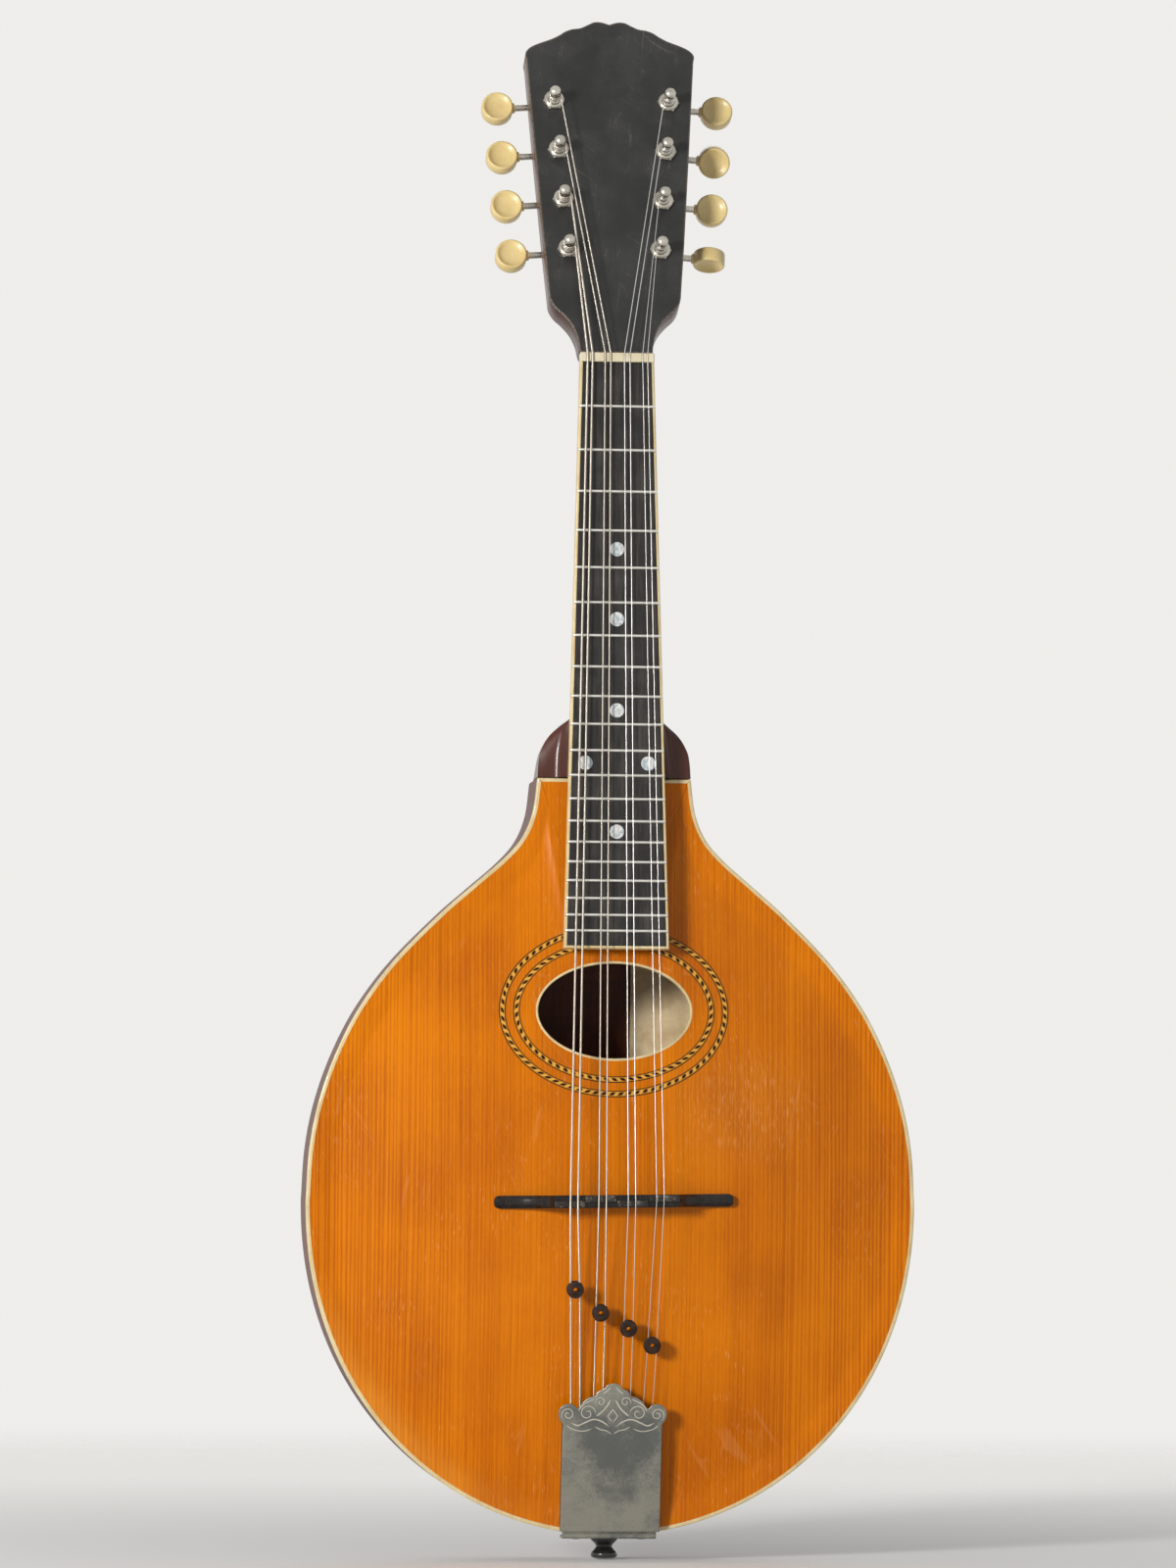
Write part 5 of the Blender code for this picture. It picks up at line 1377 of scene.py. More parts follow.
    def back(self) -> Shape:
        """The back: height contours drawn in from the edge, over and then under the plate.

        Returns:
            The surface.
        """
        reach = np.concatenate([np.linspace(0.02, 0.9, 34), np.linspace(0.9, 0.985, 12)[1:]])[:, None]
        line = self.edge() - (0.0, self.widest)
        edge = np.linalg.norm(line, axis=1)
        ray = line / edge[:, None]
        radius = reach * self.contour(edge, ray, reach)
        plan = ray * radius[..., None] + (0.0, self.widest)
        outside = raised(plan, -self.depth - self.arch(reach, self.back_arch))
        roll = arc(-90, 0, 5)[1:]
        rim = raised(inset(self.edge(), 1.0 - roll[:, 0]), (1.0 - self.depth + roll[:, 1])[:, None])
        lip = raised(self.edge(), self.plate - self.depth)[None]
        inside = outside[::-2] + (0.0, 0.0, self.plate)
        return skin(np.concatenate([outside, rim, lip, inside]))

    def hole_lining(self) -> Shape:
        """An oval hoop inside the soundhole whose edge follows the arch of the top.

        Returns:
            The surface.
        """
        line = polar(1.0, around(160)) * self.hole_half + LAYOUT.hole
        w, d = self.hole_ring, self.hole_ring_deep
        section = [(0.0, -d), (0.0, 0.05), (0.25, 0.12), (w - 0.25, 0.12), (w, -0.1), (w, -d)]
        return hoop(line, section, lift=self.front(*line.T))

    def label(self) -> Shape:
        """A bare sheet of old paper on the inside of the back, under the soundhole.

        Returns:
            The surface.
        """
        u, v = np.meshgrid(*(np.linspace(*ends, 24) for ends in self.paper), indexing="ij")
        offset = stacked(u, v - self.widest)
        length = np.linalg.norm(offset, axis=-1)
        reach = length / self.contour(length * 1.3, unit(offset), np.full_like(length, 0.5))
        level = self.plate - self.depth - self.arch(reach, self.back_arch)
        upper = stacked(u, v, level + 0.5)
        return skin(np.concatenate([upper, upper[:, ::-1] - (0, 0, self.paper_thick)], 1))

    def build(self) -> list[bpy.types.Object]:
        """Make the pieces of the soundbox.

        Returns:
            The pieces.
        """
        edge, t, b = self.edge(), self.plate, self.binding
        section = [(0.0, -t), (0.0, -0.55), (0.1, -0.22), (0.3, -0.05), (0.6, 0.0), (b, 0.0), (b, -t)]
        plan = [("spruce_top", self.top(), SPRUCE, ("top",)),
                ("maple_back", self.back(), MAPLE, ("back",)),
                ("edge_binding", hoop(edge, section), IVOROID, ("top_binding",)),
                ("soundhole_hoop", self.hole_lining(), IVOROID, ("soundhole_binding",)),
                ("paper_label", self.label(), PAPER, ())]
        wall = np.array([(0.0, -t), (self.rib, -t), (self.rib, t - self.depth), (0.0, t - self.depth)])
        for side in Side:
            flip = (side.value, 1)
            rib = hoop(edge[:len(edge) // 2 + 1] * flip, wall * flip, closed=False)
            plan.append((f"bent_rib_{side.tag}", rib, MAPLE, (f"rib_{side.tag}",)))
        return [make_piece(name, shape, BODY, finish, stands_for=nodes)
                for name, shape, finish, nodes in plan]


# Neck, headstock and fingerboard


@dataclass(frozen=True)
class Neck:
    """Neck with heel and headstock, head face, bound fingerboard, frets, dots, nut and riser."""

    board_thick: float = 5.0
    nut_half: float = 15.6
    end_half: float = 22.0
    board_past: float = 7.4
    edging: float = 1.1
    frets: int = 20
    fret_wide: float = 1.3
    crown: float = 0.9
    fret_end: tuple = ((0.0, 0.25), (0.12, 0.6), (0.4, 0.88), (0.9, 1.0))
    nut_front: float = -0.9
    nut_thick: float = 3.8
    rest_up: float = 7.5
    rest_half: tuple = (19.6, 18.2)
    dots: tuple = ((5, (0.0,)), (7, (0.0,)), (10, (0.0,)), (12, (-13.2, 13.2)), (15, (0.0,)))
    dot_r: float = 3.1
    stations: tuple = ((311.6, 32.2, -46.2, 0.28), (316.0, 32.0, -42.0, 0.34),
                       (321.0, 31.4, -37.5, 0.42), (325.5, 29.6, -33.8, 0.50),
                       (329.5, 26.9, -30.6, 0.58), (333.0, 23.2, -27.8, 0.65),
                       (337.0, 18.75, -25.6, 0.72), (350.0, 18.4, -22.4, 0.72),
                       (380.0, 17.7, -20.6, 0.72), (430.0, 16.6, -20.6, 0.72),
                       (472.0, 15.8, -20.9, 0.72), (487.0, 15.5, -21.3, 0.72),
                       (497.0, 15.4, -21.6, 0.72))
    head_thick: float = 14.0
    face: float = 1.0
    head_dip: float = 2.6
    head: tuple = ((15.4, 1.6), (15.6, 4.5), (16.6, 9.5), (18.8, 14.5), (22.2, 18.8),
                   (25.6, 22.2), (27.6, 26.0), (28.1, 30.5), (29.8, 51.0), (33.1, 97.0),
                   (35.9, 138.5), (36.3, 140.8), (35.6, 142.6), (33.5, 144.5), (29.8, 146.3),
                   (25.0, 148.2), (21.4, 150.2), (19.0, 151.9), (16.0, 153.1), (12.5, 153.7),
                   (9.2, 155.3), (6.6, 156.6), (3.6, 156.7), (0.0, 155.6))
    body: Body = Body()

    @property
    def board_long(self) -> float:
        """Length of the fingerboard below the nut line."""
        return LAYOUT.scale * (1 - 2 ** (-self.frets / 12)) + self.board_past

    def half(self, u: np.ndarray | float) -> np.ndarray | float:
        """Half width of the bound fingerboard at a distance below the nut line."""
        return self.nut_half + (self.end_half - self.nut_half) * u / self.board_long

    def fret(self, k: float) -> float:
        """Distance of a fret below the nut line, by the equal-tempered rule."""
        return LAYOUT.scale * (1 - 2 ** (-k / 12))

    def seat(self, z: np.ndarray | float) -> np.ndarray | float:
        """Height of the fingerboard's underside in the body frame, at a place up it."""
        _, up, out = BODY.local(BOARD.place((0.0, 0.0, -self.board_thick)))
        return out + (up - z) * math.tan(LAYOUT.neck_pitch)

    def loft(self) -> Shape:
        """The neck: half sections with a flat seat and a rounded back, eased between stations.

        Returns:
            The surface.
        """
        z, side, back, square = np.array(self.stations).T
        flat = self.seat(z) - np.where(z > LAYOUT.head_root[2], self.head_dip, 0.0)
        half = np.minimum(self.half((LAYOUT.nut_line[2] - z) / math.cos(LAYOUT.neck_pitch)) - 0.3, side)
        shelf = np.where(side > half + 0.5, np.minimum(-0.4, flat - 1.5), flat - 1.5)
        t = np.radians(np.linspace(0, 90, 16))[:-1]
        side, half, shelf, flat, square = (v[:, None] for v in (side, half, shelf, flat, square))
        xs = side * np.cos(t) ** square
        ns = shelf + (back[:, None] - shelf) * np.sin(t) ** (square * 1.4)
        s = np.linspace(0, 1, 9)[:-1]
        fall = np.interp(z, (z[0], 318.0, 333.0, 340.0), (0.5, 1.6, 2.4, 0.0))[:, None]
        edge_x = half + (side - half) * s
        edge_n = shelf + (flat - shelf) * np.clip(1 - s / 0.3, 0, 1) - fall * s ** 2.4
        ns = ns - fall * (1 - np.clip((shelf - ns) / 8.0, 0, 1))
        at = np.concatenate([np.linspace(z[0], 350, 60), np.linspace(350, z[-1], 50)[1:]])
        right_x, right_n = (monotone(z, np.concatenate(pair, 1), at)
                            for pair in ((edge_x, xs), (edge_n, ns)))
        keel = monotone(z, back[:, None], at)
        ring_x = np.concatenate([right_x, 0 * keel, -right_x[:, ::-1]], 1)
        ring_n = np.concatenate([right_n, keel, right_n[:, ::-1]], 1)
        return skin(stacked(ring_x, at[:, None], ring_n))

    def head_line(self, first: tuple, skip: int) -> np.ndarray:
        """The headstock's outline, eased through its stations.

        Args:
            first: stations of its lowest corner.
            skip: number of stations of the outline that these stand for.

        Returns:
            The outline, anticlockwise.
        """
        stations = np.array(first + self.head[skip:])
        parts = [np.linspace(a, b, 1 + max(1, round(math.dist(a, b) / 4)))[:-1]
                 for a, b in zip(stations[:-1], stations[1:])]
        return mirrored(smooth_line(np.concatenate([*parts, stations[-1:]]), 4))

    def fret_wire(self, k: int) -> Shape:
        """One fret: a half-round crown carried across the board, its ends rounded down.

        Args:
            k: its number from the nut.

        Returns:
            The fret.
        """
        u = self.fret(k)
        half = self.half(u) - 0.15
        inward, share = np.array(self.fret_end).T
        x = np.concatenate([inward - half, [0.0], half - inward[::-1]])[:, None]
        share = np.concatenate([share, [1.0], share[::-1]])[:, None]
        a = np.radians(np.linspace(180, 0, 13))
        across = np.concatenate([0.5 * np.cos(a), [0.5, -0.5]]) * self.fret_wide
        level = np.concatenate([np.sin(a) ** 0.8, [-0.25, -0.25]]) * self.crown
        return skin(stacked(x, across - u, np.where(level > 0, level * share, level)))

    def board(self) -> list[bpy.types.Object]:
        """Fingerboard, its edging, the frets and the pearl dots.

        Returns:
            The pieces.
        """
        start, end, e = -self.nut_front, self.board_long, self.edging
        corners = [(self.half(start) - e, -start), (-self.half(start) + e, -start),
                   (-self.half(end) + e, -end + e), (self.half(end) - e, -end + e)]
        line = np.concatenate([np.linspace(a, b, 24)[:-1] for a, b in
                               zip(corners, corners[1:] + corners[:1])])
        core = slab(line, -self.board_thick, 0.0, 0.05, 1)
        rail = np.array([(-self.half(start), -start), (-self.half(end), -end),
                         (self.half(end), -end), (self.half(start), -start)])
        t = self.board_thick
        section = [(0.0, -t), (0.0, -0.5), (0.12, -0.2), (0.35, -0.04), (0.6, -0.01),
                   (e, -0.01), (e, -t)]
        frets = joined(*(self.fret_wire(k) for k in range(1, self.frets + 1)))
        disc = turned([(0.2, 0.07), (2.2, 0.06), (self.dot_r - 0.1, 0.04), (self.dot_r, -0.2)], 40)
        dots = [disc.moved(disc.points + (x, -(self.fret(k) + self.fret(k - 1)) / 2, 0.0))
                for k, across in self.dots for x in across]
        return [make_piece("ebony_board", core, BOARD, EBONY, stands_for=("fingerboard",)),
                make_piece("board_edging", hoop(rail, section, closed=False), BOARD, IVOROID,
                           stands_for=("fingerboard_binding",)),
                make_piece("fret_wires", frets, BOARD, FRET_NICKEL),
                make_piece("pearl_dots", joined(*dots), BOARD, PEARL)]

    def nut(self) -> Shape:
        """The nut: its end view, notched under each string, carried along its thickness.

        Returns:
            The surface.
        """
        h, top = self.nut_half, LAYOUT.nut_top
        tops = [(h, top - 0.4), (h - 0.4, top)]
        for x in sorted((course.hand * x for course in COURSES for x in course.nuts), reverse=True):
            tops += [(x + 0.5, top), (x + 0.3, top - 0.22), (x - 0.3, top - 0.22), (x - 0.5, top)]
        tops += [(-h + 0.4, top), (-h, top - 0.4)]
        line = np.array([(h, -self.board_thick)] + tops + [(-h, -self.board_thick)])
        shape = slab(line, 0.0, self.nut_thick, 0.15, 3)
        x, n, u = shape.points.T
        return shape.moved(stacked(x, u + self.nut_front, n))

    def riser(self) -> Shape:
        """The block under the board's end: level with the board above, the arch below.

        Returns:
            The surface.
        """
        low = BODY.local(BOARD.place((0.0, -self.board_long, 0.0)))[1] + self.rest_up
        z = np.linspace(low, self.body.end + 0.3, 60)[:, None]
        x = np.interp(z, (z[0, 0], z[-1, 0]), self.rest_half) * np.linspace(-1, 1, 16)
        under = stacked(x, z, self.body.front(x, z) + 0.02)
        return skin(np.concatenate([under, stacked(x, z, self.seat(z))[:, ::-1]], 1))

    def build(self) -> list[bpy.types.Object]:
        """Make the neck and all that it carries but the tuning machines.

        Returns:
            The pieces.
        """
        line = self.head_line(self.head[:1], 1)
        round_line = self.head_line(((12.4, 1.6), (14.2, 2.2), (15.3, 3.6), (15.8, 5.6)), 2)
        paddle = slab(round_line, -self.head_thick, -self.face, 0.08, 2, under=1.2)
        wood = make_piece("headstock_wood", paddle, HEAD, MAHOGANY)
        face = make_piece("head_face", slab(line, -self.face, 0.0, 0.3, 3, 0.02,
                                            (0.5, 1.2, 2.4)), HEAD, HeadBlack(),
                          stands_for=("head_veneer",))
        for piece in (wood, face):
            drill(piece, list(TUNERS.values()), LAYOUT.post_hole, -self.head_thick - 3, 3.0)
        shaft = make_piece("neck_shaft", self.loft(), BODY, MAHOGANY, stands_for=("neck",),
                           smooth=50)
        return [wood, face, shaft, *self.board(),
                make_piece("bone_nut", self.nut(), BOARD, BONE, stands_for=("nut",)),
                make_piece("board_rest", self.riser(), BODY, MAHOGANY,
                           stands_for=("board_riser",))]


# Tuning machines


@dataclass(frozen=True)
class TuningRow:
    """Four worm-geared machines on one plate: posts, gears, worms, buttons, bushings, screws."""

    side: Side
    module: float = 0.6
    teeth: int = 14
    root_deep: float = 0.70
    tip_high: float = 0.55
    gear_thick: float = 3.0
    worm_r: float = 2.3
    turns: int = 3
    depth: float = 18.7
    shaft: float = 1.45
    shoulder: float = 3.7
    inner_end: float = 5.4
    outer_end: float = 20.6
    button_reach: float = 22.4
    button_r: float = 6.8
    rim: float = 6.2
    waist: float = 3.2
    plate_half: float = 5.6
    plate_level: tuple = (-15.3, -14.3)
    plate_ends: tuple = (-8.5, 12.0)
    plate_round: float = 2.6
    lug: tuple = (3.95, 5.05)
    lug_half: float = 2.7
    lug_tall: float = 3.9
    nut_corner: float = 4.75
    nut_thick: float = 1.35
    plate_screw_r: float = 2.2
    gear_screw_r: float = 1.7
    post_end: float = -21.3
    screw_dome: tuple = ((1.0, -0.3), (1.0, 0.0), (0.9, 0.22), (0.72, 0.42), (0.5, 0.55),
                         (0.25, 0.62), (0.06, 0.64))
    button_turns: tuple = (0.0, 0.0, 0.0, 0.0)

    @property
    def long(self) -> float:
        """Length of the row, from its first post to its last."""
        return math.hypot(LAYOUT.post_x[0] - LAYOUT.post_x[1], 3 * LAYOUT.post_step)

    @property
    def gear_r(self) -> float:
        """Pitch radius of the gear."""
        return self.module * self.teeth / 2

    @property
    def worm_offset(self) -> float:
        """Distance from the post's axis to the worm's."""
        return self.gear_r + self.worm_r

    @property
    def lead(self) -> float:
        """Advance of the thread in a turn."""
        return math.pi * self.module

    def post(self) -> Shape:
        """String post: a ball-capped turning with a waist, on a shaft down to the gear.

        Returns:
            The surface.
        """
        profile = [(0.25, 11.7), (0.9, 11.62), (1.5, 11.36), (2.05, 10.9), (2.42, 10.3),
                   (2.55, 9.7), (2.42, 9.15), (2.2, 8.75), (2.02, 8.4), (1.88, 8.1), (1.8, 7.8),
                   (1.8, 4.3), (1.95, 3.9), (2.3, 3.5), (2.6, 3.2), (2.6, -19.6), (2.0, -19.6),
                   (2.0, self.post_end + 0.3), (1.7, self.post_end), (0.3, self.post_end)]
        return turned(profile, 40)

    def gear(self) -> Shape:
        """The wheel: each tooth's flank is a short curve, and the teeth lean over to the lead.

        Returns:
            The surface.
        """
        pitch, tip = self.gear_r, self.gear_r + self.tip_high
        flank = np.array([(pitch - self.root_deep, -0.56), (pitch - 0.2, -0.47),
                          (pitch + 0.2, -0.36), (tip, -0.22)])
        radius, half = np.concatenate([flank, flank[::-1] * (1, -1)]).T
        middle = math.pi / 2 + TURN * (np.arange(self.teeth) + 0.5) / self.teeth
        angle = (middle[:, None] + half / radius).ravel()
        lean = self.lead / (TURN * self.worm_r) / self.gear_r
        n = np.linspace(-self.gear_thick / 2, self.gear_thick / 2, 7)[:, None]
        ease = np.array([0.12, 0.0, 0.0, 0.0, 0.0, 0.0, 0.12])[:, None]
        return skin(raised(polar(np.tile(radius, self.teeth) - ease, angle + lean * n), n - self.depth))

    def worm(self) -> Shape:
        """Worm and shaft: radius is root plus thread height, which rises and falls with the phase.

        Returns:
            The surface.
        """
        root, crest = self.worm_r - self.root_deep, self.worm_r + self.tip_high
        inner, outer = (self.inner_end, self.outer_end)[::self.side.value]
        thin, hub, a = self.shaft, self.shoulder, around(40)
        x = np.linspace(-hub, hub, 180)[:, None]
        phase = x / self.lead - a / TURN + self.turns / 2
        whole = np.round(phase)
        thread = 1 - np.clip((np.abs(phase - whole) * self.lead - 0.225) / 0.35, 0, 1)
        gone = whole + a / TURN
        fade = np.clip(np.minimum(gone, self.turns - gone) / 0.5, 0, 1)
        before = np.array([(-inner, thin - 0.2), (0.2 - inner, thin), (-hub, thin)])[..., None]
        after = np.array([(hub, thin), (outer - 0.2, thin), (outer, thin - 0.2)])[..., None]
        radius = np.concatenate([before[:, 1] + 0 * a, root + (crest - root) * thread * fade,
                                 after[:, 1] + 0 * a])
        ring = polar(radius, a)
        return skin(stacked(np.concatenate([before[:, 0], x, after[:, 0]]), ring[..., 0], ring[..., 1]))

    def button(self, turn: float) -> Shape:
        """A dished disc on a hub, its axle along x, turned about the shaft.

        Args:
            turn: how far the knob stands round, in degrees.

        Returns:
            The button, at its place along the shaft.
        """
        rim, waist, r = self.rim / 2, self.waist / 2, self.button_r
        side = [(0.3, waist), (2.0, waist + 0.08), (3.6, waist + 0.32), (4.8, waist + 0.75),
                (5.5, rim - 0.25), (5.9, rim), (6.3, rim - 0.05), (6.6, rim - 0.3), (r, rim - 0.8)]
        disc = turned(side + [(radius, -n) for radius, n in reversed(side)], 72)
        hub = turned([(1.6, -r - 0.9), (2.2, -r - 0.6), (2.3, -r + 0.4), (2.3, -r + 2.5)], 32)
        both = joined(disc, hub.moved(hub.points[:, ::-1]))
        x, y, n = both.points.T
        c, s = math.cos(math.radians(turn)), math.sin(math.radians(turn))
        x = self.side.value * (x + self.button_reach)
        return both.moved(stacked(x, y * c - n * s, y * s + n * c))

    def bushing(self) -> Shape:
        """A six-sided nut with a washer over it, round the post where it leaves the face.

        Returns:
            The surface.
        """
        corner = arc(0, 300, 6) * self.nut_corner
        line = np.concatenate([np.linspace(a, b, 6)[:-1] for a, b in
                               zip(corner, np.roll(corner, -1, 0))])
        hexagon = [raised(line, level) for level in (0.0, self.nut_thick)]
        rounds = [raised(unit(line) * r, level) for r, level in ((4.2, 1.75), (2.7, 1.75), (2.7, 0.0))]
        washer = turned([(3.7, 1.75), (3.75, 2.0), (3.5, 2.3), (2.9, 2.45), (2.68, 2.4),
                         (2.68, 1.75)], 40, ring=True)
        return joined(skin(np.stack(hexagon + rounds), wrap=True), washer)

    def screw(self, radius: float, place: tuple, level: float, turn: float) -> Shape:
        """A slotted screw head that faces away from the player."""
        rings = screw_head(radius, turn, 48, self.screw_dome, (radius * 0.14, 0.35, 0.1))
        return skin(rings * (1, 1, -1) + (*place, level))

    def plate(self) -> Shape:
        """The back plate with its pairs of bearing lugs, in the frame of the lowest machine.

        Returns:
            The surface.
        """
        low, past = self.plate_ends
        outline = rounded((-self.plate_half, low), (self.plate_half, self.long + past),
                          self.plate_round, 7)
        shapes = [slab(outline, *self.plate_level, 0.2, 3)]
        for k in range(4):
            for x in (-self.lug[1], self.lug[0]):
                lug = self.lug_ring()
                points = TUNERS[self.side, k].place(lug.points + (x, self.worm_offset, -self.depth))
                shapes.append(lug.moved(TUNERS[self.side, 3].local(points)))
        return joined(*shapes)

    def lug_ring(self) -> Shape:
        """One bearing lug: an arch-shaped cheek with a round bore for the shaft, from x = 0 out.

        Returns:
            The surface.
        """
        thick = self.lug[1] - self.lug[0]
        outer = polar(1.0, around(48))
        x, y = np.abs(outer[:, 0]), outer[:, 1]
        wide, tall = self.lug_half / np.maximum(x, 1e-6), self.lug_tall / np.maximum(y, 1e-6)
        reach = np.where(y > 0, np.minimum(wide, tall), self.lug_half)
        cheek, bore = outer * reach[:, None], outer * (self.shaft + 0.08)
        return skin(np.stack([stacked(out, line[:, 0], line[:, 1]) for line, out in
                              ((cheek, 0.0), (cheek, thick), (bore, thick), (bore, 0.0))]), wrap=True)

    def build(self) -> list[bpy.types.Object]:
        """Make the row: what turns rides on its own bodies, the rest on the neck.

        Returns:
            The pieces.
        """
        tag, long, rings = self.side.tag, self.long, []
        places = [TUNERS[self.side, k] for k in range(4)]
        plate = make_piece(f"machine_plate_{tag}", self.plate(), places[3], NICKEL,
                           stands_for=(f"tuner_plate_{tag}",))
        drill(plate, places, LAYOUT.post_hole, self.plate_level[0] - 0.5, self.plate_level[1] + 0.5)
        heads = [self.screw(self.plate_screw_r, (0.0, s), self.plate_level[0], 20 + 50 * j)
                 for j, s in enumerate((-5.6, long + 9.1, long / 6, long / 2, long * 5 / 6))]
        made = [plate, make_piece(f"plate_screws_{tag}", joined(*heads), places[3], NICKEL)]
        for k, place in enumerate(places):
            name = f"{tag}_{k + 1}"
            axis = place.child((0.0, self.worm_offset, -self.depth))
            roller, knob = f"roller_{name}", f"knob_{name}"
            gear_screw = self.screw(self.gear_screw_r, (0.0, 0.0), self.post_end, 35.0 * k)
            made += [make_piece(f"string_post_{name}", joined(self.post(), gear_screw), place, NICKEL,
                                roller, (f"post_{name}",)),
                     make_piece(f"gear_wheel_{name}", self.gear(), place, BRASS, roller),
                     make_piece(f"worm_shaft_{name}", self.worm(), axis, NICKEL, knob,
                                (f"worm_{name}",)),
                     make_piece(f"peg_button_{name}", self.button(self.button_turns[k]), axis, CREAM,
                                knob, (f"button_{name}",))]
            bushing = self.bushing()
            rings.append(bushing.moved(HEAD.local(place.place(bushing.points))))
        return made + [make_piece(f"bushings_{tag}", joined(*rings), HEAD, NICKEL)]


# Bridge, tailpiece, end pin


@dataclass(frozen=True)
class Bridge:
    """Ebony bridge: scooped wings and a raised saddle stepped for each course."""

    half: float = 50.0
    thick: float = 5.3
    tip: float = 12.4
    level: float = 25.4
    wing: tuple = ((0.0, 1.0), (0.083, 0.769), (0.229, 0.492), (0.458, 0.277), (0.75, 0.138),
                   (0.967, 0.077), (1.0, 0.0))
    nose: float = 2.4
    saddle_half: float = 26.0
    body: Body = Body()

    def wood(self) -> Shape:
        """The body: at each place across, a section from the arch of the top up to the wing.

        Returns:
            The surface.
        """
        out, rise = smooth_line(np.array(self.wing), 8).T
        out = self.saddle_half + out * (self.half - self.saddle_half)
        end = self.half - self.nose * (1 - np.cos(np.linspace(0, math.pi / 2, 9)))
        x = np.unique(np.concatenate([-out, np.linspace(-self.saddle_half, self.saddle_half, 40),
                                      out, end, -end]).round(4))
        away = np.abs(x)
        high = np.interp(away, [0.0, *out], [self.level, *(self.tip + rise * (self.level - self.tip))])
        tip = np.clip((away - self.half + self.nose) / self.nose, 0, 1)
        h = self.thick / 2 * (0.25 + 0.75 * np.sqrt(1 - tip ** 2))
        soft = (np.clip((away - self.saddle_half) / 8, 0, 1) * 1.2 + 0.35) * (1 - 0.7 * tip)
        run = stacked(-h, -h, soft - h, 0 * h, h - soft, h, h)
        under = self.body.front(x[:, None], LAYOUT.bridge_z + run) + 0.03
        level = stacked(under[:, 0], high - soft, high, high + 0.05, high, high - soft, under[:, -1])
        return skin(stacked(x[:, None], run, np.maximum(level, under)))

    def saddle(self) -> Shape:
        """Four notched steps, each a little nearer to the nut or the tail than the last.

        Returns:
            The surface.
        """
        wide, top, shapes = self.saddle_half / 2, LAYOUT.saddle_top, []
        for k, course in enumerate(COURSES):
            x0, x1 = -self.saddle_half + k * wide + 0.05, -self.saddle_half + (k + 1) * wide - 0.05
            tops = [(x1, top - 0.3), (x1 - 0.3, top)]
            for x in sorted((course.hand * x for x in course.saddles), reverse=True):
                tops += [(x + 0.55, top), (x + 0.3, top - 0.2), (x - 0.3, top - 0.2), (x - 0.55, top)]
            tops += [(x0 + 0.3, top), (x0, top - 0.3)]
            line = np.array([(x1, self.level - 0.6)] + tops + [(x0, self.level - 0.6)])
            shape = slab(line, -LAYOUT.saddle_thick / 2, LAYOUT.saddle_thick / 2, 0.2, 3)
            x, n, y = shape.points.T
            shapes.append(shape.moved(stacked(x, y + course.shift, n)))
        return joined(*shapes)

    def build(self) -> list[bpy.types.Object]:
        """Make the bridge.

        Returns:
            The pieces.
        """
        return [make_piece("bridge_wood", self.wood(), BRIDGE, BRIDGE_EBONY,
                           stands_for=("bridge",), smooth=32),
                make_piece("bridge_saddle", self.saddle(), BRIDGE, SADDLE_EBONY)]


